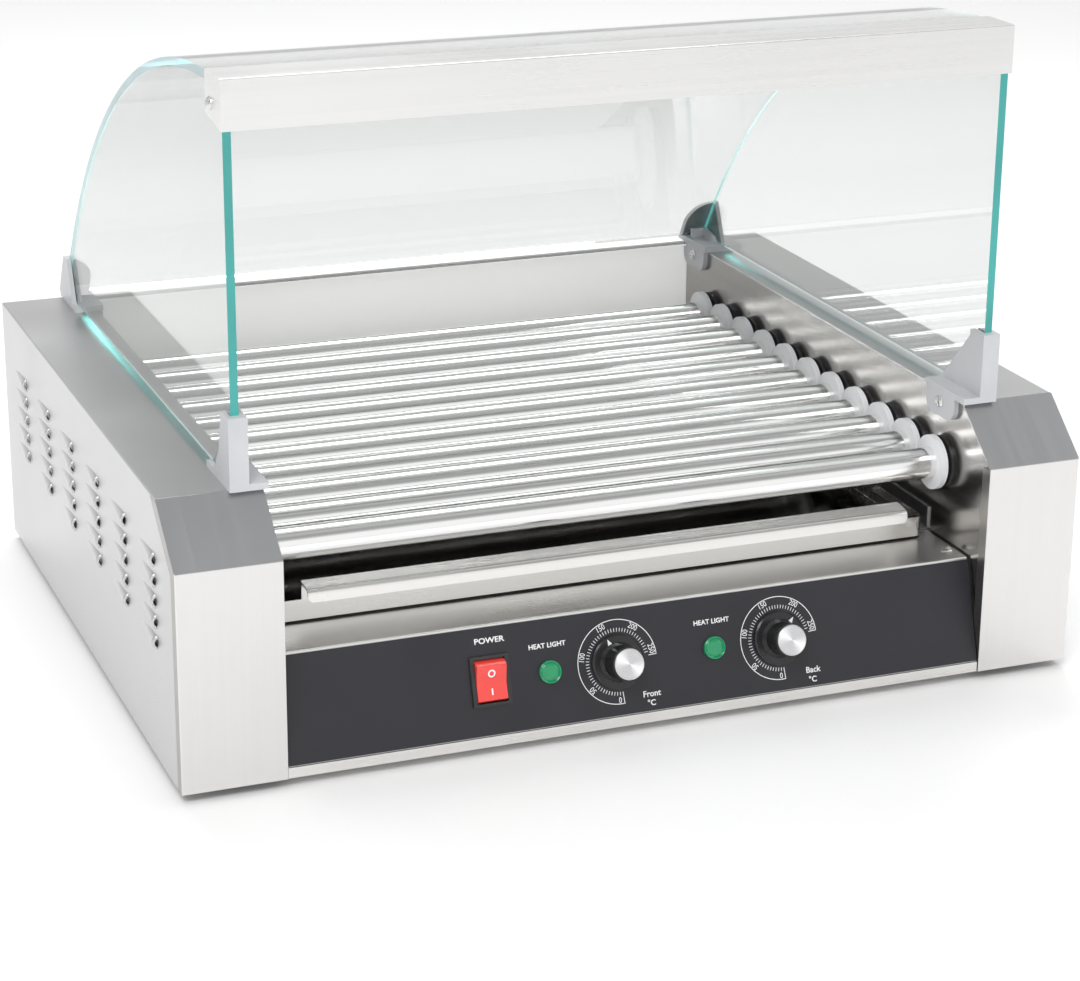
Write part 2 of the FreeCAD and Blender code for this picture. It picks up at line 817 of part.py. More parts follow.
def build_bearings():
    """Flanged bushes in the walls, and the pale collars that seal in front of them."""
    bush = turned("Bush", [
        (roller_radius + running_gap, -bush_flange_thick),
        (bush_neck_radius, -bush_flange_thick),
        (bush_neck_radius, -bush_lip_thick),
        (bush_flange_radius, -bush_lip_thick),
        (bush_flange_radius, 0),
        (bush_spigot_radius, 0),
        (bush_spigot_radius, bush_length - bush_flange_thick),
        (roller_radius + running_gap, bush_length - bush_flange_thick),
    ])
    set_down(bush, 0, 0, 0, ALONG_X)
    collar = ring("Collar", collar_radius, roller_radius + running_gap, collar_thick)
    rows = range(roller_count)
    bush_spots = [(wall_x, roller_y(index), roller_z) for index in rows]
    collar_x = wall_x - bush_flange_thick - collar_thick
    collar_spots = [(collar_x, roller_y(index), roller_z) for index in rows]
    right_bushes = copies("RightBushes", bush, bush_spots)
    right_collars = copies("RightCollars", collar, collar_spots)
    finish(gather("Bearings", right_bushes, mirrored("LeftBushes", right_bushes)),
           "roller_bearings")
    finish(gather("Collars", right_collars, mirrored("LeftCollars", right_collars)),
           "roller_collars")


def build_heaters():
    """A still heating rod through each roller, held by a bracket in each box."""
    half = wall_x + heater_overrun
    heater = rod("HeaterRod", heater_radius, half * 2, 0, 0, 0)
    insulator = rod("Insulator", insulator_radius, insulator_length, 0, 0, 0)
    rows = range(roller_count)
    rods = copies("HeatingElements", heater, [(-half, roller_y(index), roller_z) for index in rows])
    right_beads = copies("RightInsulators", insulator,
                         [(half, roller_y(index), roller_z) for index in rows])
    plate_x = wall_x + retainer_standoff
    front = first_roller_y - retainer_end_gap
    back = roller_y(roller_count - 1) + retainer_end_gap
    low = roller_z - retainer_height / 2
    high = roller_z + retainer_height / 2
    web = block("RetainerWeb", (plate_x, front, low), (plate_x + gauge, back, high))
    near_leg = block("RetainerFrontLeg", (wall_x + gauge, front, low), (plate_x, front + gauge, high))
    far_leg = block("RetainerRearLeg", (wall_x + gauge, back - gauge, low), (plate_x, back, high))
    bracket = cut("RightRetainer", fuse("RetainerBlank", web, near_leg, far_leg), rods)
    finish(rods, "heating_elements")
    finish(gather("Insulators", right_beads, mirrored("LeftInsulators", right_beads)),
           "heater_insulators")
    finish(gather("Retainers", bracket, mirrored("LeftRetainer", bracket)), "heater_retainers")


# ----------------------------------------------------------------------------------------------
# Chain drive
# ----------------------------------------------------------------------------------------------

def toothed_wheel(name, boss_radius, bore_radius):
    """A chain sprocket across X with a boss on its outer face."""
    wheel = new_body(name)
    disc = new_sketch(wheel, "YZ_Plane")
    draw_circle(disc, sprocket_tip_radius)
    pad(wheel, disc, tooth_thick)
    gap = new_sketch(wheel, "YZ_Plane", "Gap")
    seat = chain_roller_radius + 0.1
    beyond = sprocket_tip_radius + 0.6
    draw_path(gap, [
        (sprocket_pitch_radius - seat, -(seat / 2)),
        (sprocket_pitch_radius, -seat),
        (beyond, -(seat * 1.4)),
        (beyond, seat * 1.4),
        (sprocket_pitch_radius, seat),
        (sprocket_pitch_radius - seat, seat / 2),
    ])
    first_gap = pocket(wheel, gap, "FirstGap")
    teeth = wheel.newObject("PartDesign::PolarPattern", name + "Teeth")
    teeth.Originals = [first_gap]
    axis = [item for item in wheel.Origin.OriginFeatures if item.Role == "X_Axis"][0]
    teeth.Axis = (axis, [""])
    teeth.Angle = 360
    teeth.Occurrences = sprocket_teeth
    wheel.Tip = teeth
    doc.recompute()
    boss = new_sketch(wheel, "YZ_Plane", "Boss")
    draw_circle(boss, boss_radius)
    pad(wheel, boss, tooth_thick + sprocket_boss_length, "Boss")
    if bore_radius is not None:
        bore = new_sketch(wheel, "YZ_Plane", "Bore")
        draw_circle(bore, bore_radius)
        pocket(wheel, bore, "Bore")
    return wheel


def build_sprockets():
    for index in range(roller_count):
        wheel = toothed_wheel(f"Sprocket{index + 1:02d}", sprocket_boss_radius, roller_radius)
        set_down(wheel, sprocket_x, roller_y(index), roller_z)
        finish(wheel, f"sprocket_{index + 1:02d}")


motor_y = front_y + motor_axis_back
motor_z = floor_up + motor_axis_rise
idler_y = front_y + idler_axis_back
idler_z = floor_up + idler_axis_rise
gearbox_x = wall_x + motor_standoff


def build_motor():
    wheel = toothed_wheel("MotorWheel", motor_shaft_radius + 4, None)
    set_down(wheel, sprocket_x, motor_y, motor_z)
    shaft = rod("MotorShaft", motor_shaft_radius, 20, sprocket_x - 3, motor_y, motor_z)
    finish(fuse("MotorSprocket", wheel, shaft), "motor_sprocket")
    half = gearbox_size / 2
    gearbox = block("Gearbox", (gearbox_x, motor_y - half, motor_z - half),
                    (gearbox_x + gearbox_thick, motor_y + half, motor_z + half))
    small = stator_size / 2
    stator = block("Stator", (gearbox_x + gearbox_thick, motor_y - small, motor_z - small),
                   (gearbox_x + gearbox_thick + stator_thick, motor_y + small, motor_z + small))
    reach = half - 6
    pillars = [
        rod(f"Pillar{number}", motor_pillar_radius, motor_standoff - gauge + 1,
            wall_x + gauge, motor_y + across, motor_z + up)
        for number, (across, up) in enumerate(
            [(-reach, -reach), (reach, -reach), (reach, reach), (-reach, reach)])
    ]
    bore = rod("GearboxBore", motor_shaft_radius + running_gap, 12,
               gearbox_x - 1, motor_y, motor_z)
    finish(cut("GearMotor", fuse("MotorBody", gearbox, stator, *pillars), bore), "gear_motor")


def build_idler():
    """Idler sprocket and the shoulder bolt in the wall that it turns on."""
    wheel = toothed_wheel("IdlerWheel", motor_shaft_radius + 4, motor_shaft_radius + running_gap)
    set_down(wheel, sprocket_x, idler_y, idler_z)
    finish(wheel, "idler_sprocket")
    start = wall_x + gauge
    length = sprocket_standoff + tooth_thick + sprocket_boss_length
    stud = rod("IdlerStud", motor_shaft_radius, length, start, idler_y, idler_z)
    head = rod("IdlerHead", motor_shaft_radius + 3, 3, start + length, idler_y, idler_z)
    return fuse("IdlerBolt", stud, head)


def build_chain():
    """Chain round all the sprockets: two runs of side plate, and rollers clear of the teeth."""
    wheels = [(roller_y(index).value, roller_z.value) for index in range(roller_count)]
    wheels += [(motor_y.value, motor_z.value), (idler_y.value, idler_z.value)]
    corners = [wheels[0], wheels[roller_count - 1], wheels[-2], wheels[-1], wheels[0]]
    centres = Part.makePolygon([Vector(0, y, z) for y, z in corners])
    ring_radius = sprocket_pitch_radius.value
    half_plate = chain_plate_height.value / 2
    outside = Part.Face(centres.makeOffset2D(ring_radius + half_plate))
    inside = Part.Face(centres.makeOffset2D(ring_radius - half_plate))
    band = outside.cut(inside)
    thick = chain_plate_thick.value
    middle = sprocket_x.value + tooth_thick.value / 2
    half_inner = chain_inner_width.value / 2
    pieces = []
    for start in (middle - half_inner - thick, middle + half_inner):
        side = band.extrude(Vector(thick, 0, 0))
        side.translate(Vector(start, 0, 0))
        pieces.append(side)
    clear_of_teeth = sprocket_tip_radius.value + chain_roller_radius.value + 0.3
    path = centres.makeOffset2D(ring_radius)
    links = round(path.Length / chain_pitch.value)
    for spot in path.discretize(Number=links + 1)[:-1]:
        if min(math.hypot(spot.y - y, spot.z - z) for y, z in wheels) > clear_of_teeth:
            start = Vector(middle - half_inner - thick / 2, spot.y, spot.z)
            pieces.append(Part.makeCylinder(chain_roller_radius.value, half_inner * 2 + thick,
                                            start, Vector(1, 0, 0)))
    chain = doc.addObject("Part::Feature", "DriveChain")
    chain.Shape = pieces[0].multiFuse(pieces[1:])
    finish(chain, "drive_chain")


# ----------------------------------------------------------------------------------------------
# Drip tray
# ----------------------------------------------------------------------------------------------

def build_tray():
    front = front_y + tray_front_back
    back = front + tray_length
    low = floor_up + tray_rise
    rim = low + tray_depth
    pan = new_body("TrayPan")
    outline = new_sketch(pan, "XY_Plane")
    draw_path(outline, [
        (-tray_half_width, front),
        (tray_half_width, front),
        (tray_half_width, back),
        (-tray_half_width, back),
    ])
    pad(pan, outline, tray_depth)
    corners = [f"Edge{number}" for number, edge in enumerate(pan.Shape.Edges, 1)
               if edge.BoundBox.ZLength > tray_depth.value / 2]
    rounding = pan.newObject("PartDesign::Fillet", "TrayCorners")
    rounding.Base = (pan.Tip if pan.Tip != rounding else pan.Group[1], corners)
    bind(rounding, "Radius", tray_corner)
    doc.recompute()
    top = [f"Face{number}" for number, face in enumerate(pan.Shape.Faces, 1)
           if face.BoundBox.ZMin > tray_depth.value - 0.01]
    shell = pan.newObject("PartDesign::Thickness", "TrayShell")
    shell.Base = (rounding, top)
    shell.Reversed = True
    bind(shell, "Value", tray_gauge)
    doc.recompute()
    set_down(pan, 0, 0, low)
    hems = [
        block(f"TrayHem{number}", (side - tray_hem / 2, front + tray_corner, rim - tray_gauge),
              (side + tray_hem / 2, back - tray_corner, rim))
        for number, side in enumerate(
            [-(tray_half_width - tray_hem / 2), tray_half_width - tray_hem / 2])
    ]
    lip = bent_sheet("TrayLip", [
        (front, rim - 2),
        (front, floor_up + lip_rise),
        (front - lip_reach, floor_up + lip_rise - 1.5),
        (front - lip_reach - 1, floor_up + lip_rise - 1.5 - lip_drop),
    ], tray_gauge, lip_half_width * 2, -lip_half_width)
    folded = round_folds("TrayLipFolded", lip, lip_bend, [
        ("X", front, floor_up + lip_rise),
        ("X", front - lip_reach, floor_up + lip_rise - 1.5),
    ], tray_gauge)
    foot = floor_up + lip_rise - 2 - lip_drop
    reach = lip_reach + 2
    square = block("LipCorner", (lip_half_width - lip_corner, front - reach, foot),
                   (lip_half_width + 1, front - lip_bend, foot + lip_corner))
    kept = rod("LipCornerRound", lip_corner, reach, lip_half_width - lip_corner, front - reach,
               foot + lip_corner, Rotation(Vector(1, 0, 0), -90))
    corner = cut("LipCornerWaste", square, kept)
    waste = gather("LipWaste", corner, mirrored("LipOtherCorner", corner))
    return finish(fuse("DripTray", pan, cut("TrayLipTrimmed", folded, waste), *hems), "drip_tray")


def build_runners():
    """Angles on the walls that the tray slides on."""
    front = front_y + ledge_rear_back + 1
    back = front_y + tray_front_back + tray_length + 12
    top = floor_up + tray_rise - 0.2
    shelf = block("RunnerShelf", (wall_x - runner_shelf, front, top - gauge), (wall_x, back, top))
    upstand = block("RunnerUpstand", (wall_x - gauge, front, top - gauge),
                    (wall_x, back, top + runner_upstand))
    right = fuse("RightRunner", shelf, upstand)
    return finish(gather("TrayRunners", right, mirrored("LeftRunner", right)), "tray_runners")


# ----------------------------------------------------------------------------------------------
# Front housing and controls
# ----------------------------------------------------------------------------------------------

def build_front():
    """Ledge, panel and lip folded from one sheet, with the black fascia laid on the panel."""
    stem_hole = stem_radius + 0.5
    openings = [
        panel_block("SwitchOpening", switch_x, control_height, switch_width - 2,
                    switch_height - 1.8, -6, 6),
        panel_rod("FrontLampHole", front_lamp_x, control_height, lamp_body_radius, -6, 6),
        panel_rod("BackLampHole", back_lamp_x, control_height, lamp_body_radius, -6, 6),
        panel_rod("FrontStemHole", front_dial_x, control_height, stem_hole, -6, 6),
        panel_rod("BackStemHole", back_dial_x, control_height, stem_hole, -6, 6),
    ]
    tools = gather("PanelOpenings", *openings)
    housing = bent_sheet("HousingSheet", [
        (front_y + 18, floor_up),
        (front_y + lip_front_back, floor_up),
        (front_y + lip_front_back, floor_up + panel_bottom_rise),
        (front_y + panel_bottom_back, floor_up + panel_bottom_rise),
        (front_y + panel_top_back, floor_up + ledge_rise),
        (front_y + ledge_rear_back, floor_up + ledge_rise),
        (front_y + ledge_rear_back, floor_up + ledge_rise - 12),
    ], gauge, housing_half_width * 2, -housing_half_width)
    left_ledge_screws = mirrored("LeftLedgeScrews", ledge_screws)
    all_tools = gather("HousingOpenings", tools, ledge_screws, left_ledge_screws)
    open_housing = cut("HousingBlank", housing, all_tools)
    finish(round_folds("FrontHousing", open_housing, ledge_fold_radius, [
        ("X", front_y + panel_top_back, floor_up + ledge_rise),
    ]), "front_housing")
    blank = panel_block("FasciaBlank", 0, fascia_height / 2 + 0.4, housing_half_width * 2,
                        fascia_height, 0, fascia_thick)
    finish(cut("ControlFascia", blank, tools), "control_fascia")
    return left_ledge_screws


def build_switch():
    top = fascia_thick + switch_proud
    rim = panel_block("SwitchRim", switch_x, control_height, switch_width, switch_height,
                      fascia_thick, top)
    case = panel_block("SwitchCase", switch_x, control_height, switch_width - 2,
                       switch_height - 1.8, -switch_body_depth, fascia_thick)
    pivot = top - rocker_pivot_depth
    hollow = panel_block("SwitchHollow", switch_x, control_height, switch_hollow_width,
                         (rocker_radius + 0.3) * 2, pivot - 10.5, top + 1)
    finish(cut("SwitchBezel", fuse("SwitchBody", rim, case), hollow), "switch_bezel")
    start = switch_x - rocker_width / 2
    drum = doc.addObject("Part::Cylinder", "RockerDrum")
    bind(drum, "Radius", rocker_radius)
    bind(drum, "Height", rocker_width)
    on_panel(drum, start, control_height, pivot)
    drum.Placement = Placement(drum.Placement.Base, ALONG_X)
    wing = rocker_radius + 1
    saddle = plate("RockerSaddle", "YZ_Plane", [
        (-wing, -rocker_belly),
        (wing, -rocker_belly),
        (wing, rocker_wing),
        (0, rocker_crease),
        (-wing, rocker_wing),
    ], rocker_width)
    on_panel(saddle, start, control_height, pivot, rocker_tilt)
    finish(common("SwitchRocker", drum, saddle), "switch_rocker")


def build_lamps():
    top = fascia_thick + lamp_proud
    lamps = []
    for name, x in (("FrontLamp", front_lamp_x), ("BackLamp", back_lamp_x)):
        lamp = turned(name, [
            (0, -lamp_body_depth),
            (lamp_body_radius, -lamp_body_depth),
            (lamp_body_radius, fascia_thick),
            (lamp_radius, fascia_thick),
            (lamp_radius, top - 0.9),
            (lamp_radius - 0.9, top),
            (0, top),
        ])
        lamps.append(on_panel(lamp, x, control_height, 0))
    finish(gather("HeatLamps", *lamps), "heat_lamps")


def build_dials():
    """Thermostats behind the panel; each knob is one piece with the stem that turns in it."""
    under = fascia_thick + skirt_gap
    bodies = []
    for name, x in (("front", front_dial_x), ("back", back_dial_x)):
        shell = panel_block(name + "ThermostatCase", x, control_height, thermostat_size,
                            thermostat_size, -(gauge + thermostat_depth), -gauge)
        bore = panel_rod(name + "ThermostatBore", x, control_height, stem_radius + running_gap,
                         -(stem_depth + 2), 1)
        bodies.append(cut(name + "Thermostat", shell, bore))
        knob = turned(name + "Knob", [
            (0, -stem_depth),
            (stem_radius, -stem_depth),
            (stem_radius, under),
            (skirt_radius, under),
            (skirt_radius, under + 1),
            (skirt_radius - 1, under + skirt_thick),
            (grip_foot_radius, under + skirt_thick),
            (grip_radius, under + skirt_thick + 2.5),
            (grip_radius, under + grip_height),
            (0, under + grip_height),
        ])
        finish(on_panel(knob, x, control_height, 0), name + "_knob")
        cap = turned(name + "Cap", [
            (0, 0),
            (cap_radius, 0),
            (cap_radius, cap_thick - 0.5),
            (cap_radius - 0.5, cap_thick),
            (0, cap_thick),
        ])
        finish(on_panel(cap, x, control_height, under + grip_height), name + "_knob_cap")
    finish(gather("Thermostats", *bodies), "thermostats")


# ----------------------------------------------------------------------------------------------
# Glass hood
# ----------------------------------------------------------------------------------------------

glass_y = front_y + glass_centre_back
glass_z = floor_up + glass_top_rise - glass_radius
glass_foot = floor_up + glass_foot_rise


def build_glass():
    """A bent sheet for the roof and back, on two flat panes that share its curve."""
    inner = glass_radius - glass_thick
    foot_angle = math.acos((glass_foot - glass_z).value / inner.value)
    sweep = math.degrees(foot_angle) + curve_lead
    sheet_glass = new_body("CurvedGlass")
    section = new_sketch(sheet_glass, "XZ_Plane")
    draw_path(section, [
        (-pane_outer_x, inner),
        (pane_outer_x, inner),
        (pane_outer_x, glass_radius),
        (-pane_outer_x, glass_radius),
    ])
    revolve(sheet_glass, section, sweep, axis="H_Axis", reverse=True)
    set_down(sheet_glass, 0, glass_y, glass_z, Rotation(Vector(1, 0, 0), curve_lead))
    doc.recompute()
    if sheet_glass.Shape.BoundBox.YMax < rear_y.value - 10:
        raise RuntimeError("the bent glass runs the wrong way")
    finish(sheet_glass, "curved_glass")
    pane_x = pane_outer_x - glass_thick
    disc = rod("PaneDisc", inner - glass_gap, glass_thick, pane_x, glass_y, glass_z)
    bounds = block("PaneBounds", (pane_x, front_y + pane_front_back, glass_foot),
                   (pane_outer_x, rear_y + 20, floor_up + rail_top_rise))
    pane = cut("RightPane", common("PaneBlank", disc, bounds), rail_screws)
    finish(pane, "right_pane")
    finish(mirrored("LeftPane", pane), "left_pane")


def build_rail():
    """Channel along the top front edge of the glass, with an end plate over each pane."""
    front = front_y + rail_front_back
    top = floor_up + rail_top_rise
    low = top - rail_height
    inner = rail_half_width - rail_gauge
    channel = bent_sheet("RailChannel", [
        (front + rail_return, low),
        (front, low),
        (front, top),
        (front + rail_depth, top),
    ], rail_gauge, inner * 2, -inner)
    end = plate("RailEnd", "YZ_Plane", [
        (front, low),
        (front, top),
        (front + rail_depth, top),
        (front + rail_depth, low + 5),
    ], rail_gauge)
    set_down(end, inner, 0, 0)
    other_end = mirrored("RailOtherEnd", end)
    screws = gather("RailScrewSet", rail_screws, mirrored("LeftRailScrews", rail_screws))
    rail = fuse("RailBlank", channel, end, other_end)
    folded = round_folds("RailFolded", rail, rail_fold_radius, [("X", front, top)])
    finish(cut("HeaderRail", folded, screws), "header_rail")
    return screws


def clip_tab(name, middle_y):
    """The tab that folds down over the wall, with two rounded corners."""
    top = floor_up + body_height
    low = top - clip_tab_drop
    half = clip_tab_length / 2
    upper = block(name + "Upper", (tab_x, middle_y - half, low + clip_tab_corner),
                  (wall_x, middle_y + half, top + 1))
    lower = block(name + "Lower", (tab_x, middle_y - half + clip_tab_corner, low),
                  (wall_x, middle_y + half - clip_tab_corner, top))
    corners = [
        rod(name + f"Corner{number}", clip_tab_corner, clip_tab_thick, tab_x,
            middle_y + across, low + clip_tab_corner)
        for number, across in enumerate([-(half - clip_tab_corner), half - clip_tab_corner])
    ]
    return [upper, lower, *corners]


def build_front_clips():
    top = floor_up + body_height
    front = front_y + clip_front_back
    shelf = top + clip_base_thick
    post_x = clip_outer_x - clip_post_width
    post_back = front + clip_post_depth
    post_top = top + clip_post_height
    base = block("FrontClipBase", (tab_x, front, top), (clip_outer_x, front + clip_length, shelf))
    post = block("FrontClipPost", (post_x, front, top + 1), (clip_outer_x, post_back, post_top))
    gusset = plate("FrontClipGusset", "YZ_Plane", [
        (post_back - 1, shelf - 1),
        (front + clip_length, shelf - 1),
        (front + clip_length, shelf),
        (post_back, post_top - 4),
        (post_back - 1, post_top - 4),
    ], gusset_thick)
    set_down(gusset, post_x, 0, 0)
    cheek = plate("FrontClipCheek", "YZ_Plane", [
        (post_back - 1, shelf - 1),
        (post_back + 12, shelf - 1),
        (post_back + 12, shelf + 6),
        (post_back + 5, shelf + 16),
        (post_back, post_top - 6),
        (post_back - 1, post_top - 6),
    ], gusset_thick)
    set_down(cheek, clip_outer_x - gusset_thick, 0, 0)
    solid = fuse("FrontClipSolid", base, post, gusset, cheek, *clip_tab("FrontTab", front_tab_y))
    slot = block("FrontClipSlot",
                 (pane_outer_x - glass_thick - glass_gap, front + clip_post_wall, shelf),
                 (pane_outer_x + glass_gap, front + clip_length + 1, post_top + 1))
    slotted = cut("FrontClipSlotted", solid, slot)
    clip = cut("RightFrontClip", slotted, clip_screws)
    return finish(gather("FrontClips", clip, mirrored("LeftFrontClip", clip)), "front_clips")


def build_rear_clips():
    """Rear clips: a fin behind the bent glass, a cheek beside the pane and a lug inside."""
    top = floor_up + body_height
    shelf = top + clip_base_thick
    fin_top = floor_up + fin_rise
    outer = glass_radius + glass_gap + fin_thick
    back = rear_y + 6
    base = block("RearClipBase", (tab_x, rear_clip_y, top), (clip_outer_x, back, shelf))
    arc_out = rod("FinOutside", outer, clip_outer_x - tab_x, tab_x, glass_y, glass_z)
    arc_in = rod("FinInside", glass_radius + glass_gap, clip_outer_x - tab_x + 2,
                 tab_x - 1, glass_y, glass_z)
    round_x = tab_x + fin_corner
    round_z = fin_top - fin_corner
    window = fuse(
        "FinWindow",
        block("FinTall", (round_x, rear_clip_y, shelf - 1), (clip_outer_x, back, fin_top)),
        block("FinLow", (tab_x, rear_clip_y, shelf - 1), (clip_outer_x, back, round_z)),
        rod("FinRound", fin_corner, back - rear_clip_y, round_x, rear_clip_y, round_z,
            Rotation(Vector(1, 0, 0), -90)),
    )
    fin = common("Fin", cut("FinBand", arc_out, arc_in), window)
    sector = rod("CheekDisc", outer, gusset_thick, pane_outer_x + glass_gap * 2, glass_y, glass_z)
    cheek_bounds = plate("CheekBounds", "YZ_Plane", [
        (rear_clip_y + 8, shelf - 1),
        (back, shelf - 1),
        (back, fin_top),
        (rear_clip_y + 22, fin_top),
    ], gusset_thick)
    set_down(cheek_bounds, pane_outer_x + glass_gap * 2, 0, 0)
    cheek = common("Cheek", sector, cheek_bounds)
    lug_back = rear_y - 10.6
    lug_end = pane_outer_x - glass_thick - glass_gap * 2
    lug = block("RearClipLug", (tab_x + lug_wall, lug_back - lug_wall, shelf - 1),
                (lug_end, lug_back, shelf + lug_height))
    lug_side = plate("RearClipLugSide", "YZ_Plane", [
        (rear_clip_y + 10, shelf - 1),
        (lug_back, shelf - 1),
        (lug_back, shelf + lug_height),
        (rear_clip_y + 14, shelf + lug_height * 0.6),
        (rear_clip_y + 10, shelf + 1),
    ], lug_wall)
    set_down(lug_side, lug_end - lug_wall, 0, 0)
    solid = fuse("RearClipSolid", base, fin, cheek, lug, lug_side,
                 *clip_tab("RearTab", rear_tab_y))
    clip = cut("RightRearClip", solid, clip_screws)
    return finish(gather("RearClips", clip, mirrored("LeftRearClip", clip)), "rear_clips")


# ----------------------------------------------------------------------------------------------
# Assembly
# ----------------------------------------------------------------------------------------------

build_base_pan()
build_feet()
right_wall = build_inner_wall()
finish(mirrored("LeftInnerWall", right_wall), "left_inner_wall")
right_front = build_front_cover()
finish(mirrored("LeftFrontCover", right_front), "left_front_cover")
right_side = build_side_cover()
finish(mirrored("LeftSideCover", right_side), "left_side_cover")
build_rear_panel(build_gland())
build_rollers()
build_bearings()
build_heaters()
build_sprockets()
build_motor()
idler_bolt = build_idler()
build_chain()
build_tray()
build_runners()
left_ledge_screws = build_front()
build_switch()
build_lamps()
build_dials()
build_glass()
rail_screw_set = build_rail()
build_front_clips()
build_rear_clips()
left_clip_screws = mirrored("LeftClipScrews", clip_screws)
finish(gather("Fasteners", clip_screws, left_clip_screws, rail_screw_set, ledge_screws,
              left_ledge_screws, idler_bolt), "fasteners")

doc.recompute()
for item in doc.Objects:
    if "Invalid" in item.State or "Error" in item.State:
        raise RuntimeError(f"{item.Name} failed: {item.State}")
for item in finished:
    if item.Shape.isNull() or not item.Shape.isValid() or not item.Shape.Solids:
        raise RuntimeError(f"{item.Label} has no sound shape")
os.makedirs("parts", exist_ok=True)
for item in finished:
    item.Shape.exportStep(f"parts/{item.Label}.step")
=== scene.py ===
import math

import bmesh
import bpy
from mathutils import Matrix, Vector
from mathutils.bvhtree import BVHTree
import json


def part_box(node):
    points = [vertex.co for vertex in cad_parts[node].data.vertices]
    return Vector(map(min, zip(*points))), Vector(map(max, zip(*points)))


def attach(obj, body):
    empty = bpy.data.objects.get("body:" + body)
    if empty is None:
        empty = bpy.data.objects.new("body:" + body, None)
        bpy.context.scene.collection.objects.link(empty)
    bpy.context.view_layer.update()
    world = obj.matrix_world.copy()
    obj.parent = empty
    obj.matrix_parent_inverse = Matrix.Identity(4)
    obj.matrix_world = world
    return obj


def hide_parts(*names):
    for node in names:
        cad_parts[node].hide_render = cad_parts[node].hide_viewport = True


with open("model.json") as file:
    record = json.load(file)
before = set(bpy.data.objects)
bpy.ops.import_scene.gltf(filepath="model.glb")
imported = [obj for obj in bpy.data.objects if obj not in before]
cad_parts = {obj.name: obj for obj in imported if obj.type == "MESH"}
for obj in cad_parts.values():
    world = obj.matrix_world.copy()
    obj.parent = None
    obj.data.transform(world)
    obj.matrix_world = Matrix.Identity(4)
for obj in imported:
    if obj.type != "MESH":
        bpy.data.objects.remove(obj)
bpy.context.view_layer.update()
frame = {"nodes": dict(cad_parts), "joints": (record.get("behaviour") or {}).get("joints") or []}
joints = {joint["name"]: joint for joint in frame["joints"]}
scene = bpy.context.scene
X, Z = Vector((1, 0, 0)), Vector((0, 0, 1))


# ----------------------------------------------------------------------------------------------
# Camera, floor and lights
# ----------------------------------------------------------------------------------------------

CAMERA_PLACE = (-0.6495, -1.6941, 0.7265)
CAMERA_AZIMUTH, CAMERA_ELEVATION, CAMERA_ROLL = -21.56, 19.68, 0.5
CAMERA_LENS, CAMERA_SENSOR, CAMERA_REACH = 96.2, 36, 50
FLOOR_REACH = 25.0
# Each soft light's name, place, target, width, height and power.
SOFT_LIGHTS = [
    ("key", (-1.3, -1.9, 2.4), (0, 0, 0.1), 1.6, 1.2, 48),
    ("fill", (2.2, -1.2, 1.4), (0, 0, 0.15), 1.2, 1.6, 7),
    ("top", (0.3, 1.3, 2.4), (0, 0, 0.15), 1.8, 0.9, 30),
]
# How bright the surround is at each angle over the machine, from the front horizon to the rear.
SURROUND = [
    (0, 1.0), (32, 1.0), (44, 0.42), (58, 0.34), (70, 0.5), (88, 0.52), (97, 1.0), (119, 1.0),
    (128, 0.66), (146, 0.62), (156, 0.64), (166, 0.66), (173, 1.0), (180, 1.0),
]


def aim(azimuth, elevation, roll):
    """Axes of a camera that stands at those angles round the machine, as a matrix."""
    a, e, r = (math.radians(angle) for angle in (azimuth, elevation, roll))
    back = Vector((math.sin(a) * math.cos(e), -math.cos(a) * math.cos(e), math.sin(e)))
    across = (-back).cross(Z).normalized()
    upward = across.cross(-back)
    right = across * math.cos(r) + upward * math.sin(r)
    top = upward * math.cos(r) - across * math.sin(r)
    return Matrix((right, top, back)).transposed()


def make_camera():
    lens = bpy.data.cameras.new("camera")
    lens.lens = CAMERA_LENS
    lens.sensor_width = CAMERA_SENSOR
    lens.clip_end = CAMERA_REACH
    camera = bpy.data.objects.new("camera", lens)
    scene.collection.objects.link(camera)
    axes = aim(CAMERA_AZIMUTH, CAMERA_ELEVATION, CAMERA_ROLL)
    camera.matrix_world = Matrix.Translation(CAMERA_PLACE) @ axes.to_4x4()
    scene.camera = camera


def soft_light(name, place, target, width, height, power):
    panel = bpy.data.lights.new(name, "AREA")
    panel.shape = "RECTANGLE"
    panel.size = width
    panel.size_y = height
    panel.energy = power
    lamp = bpy.data.objects.new(name, panel)
    scene.collection.objects.link(lamp)
    lamp.location = place
    lamp.rotation_mode = "QUATERNION"
    lamp.rotation_quaternion = (Vector(target) - Vector(place)).to_track_quat("-Z", "Y")


def light_surround():
    """A sky whose brightness depends only on how far over the machine it is, front to rear."""
    world = bpy.data.worlds.new("studio")
    world.use_nodes = True
    scene.world = world
    tree = world.node_tree
    toward = tree.nodes.new("ShaderNodeTexCoord").outputs["Generated"]
    forward = math_node(tree, "MULTIPLY", part_of(tree, toward, "Y"), -1)
    height = math_node(tree, "MAXIMUM", part_of(tree, toward, "Z"), 0)
    over = math_node(tree, "ARCTAN2", height, forward)
    ramp = tree.nodes.new("ShaderNodeValToRGB")
    wire(tree, spread(tree, over, 0, 1, (0, math.pi)), ramp.inputs["Fac"])
    elements = ramp.color_ramp.elements
    elements[0].position = SURROUND[0][0] / 180
    elements[1].position = SURROUND[-1][0] / 180
    for angle, level in SURROUND[1:-1]:
        elements.new(angle / 180)
    for element, (angle, level) in zip(elements, SURROUND):
        element.color = (level, level, level, 1)
    wire(tree, ramp.outputs["Color"], tree.nodes["Background"].inputs["Color"])


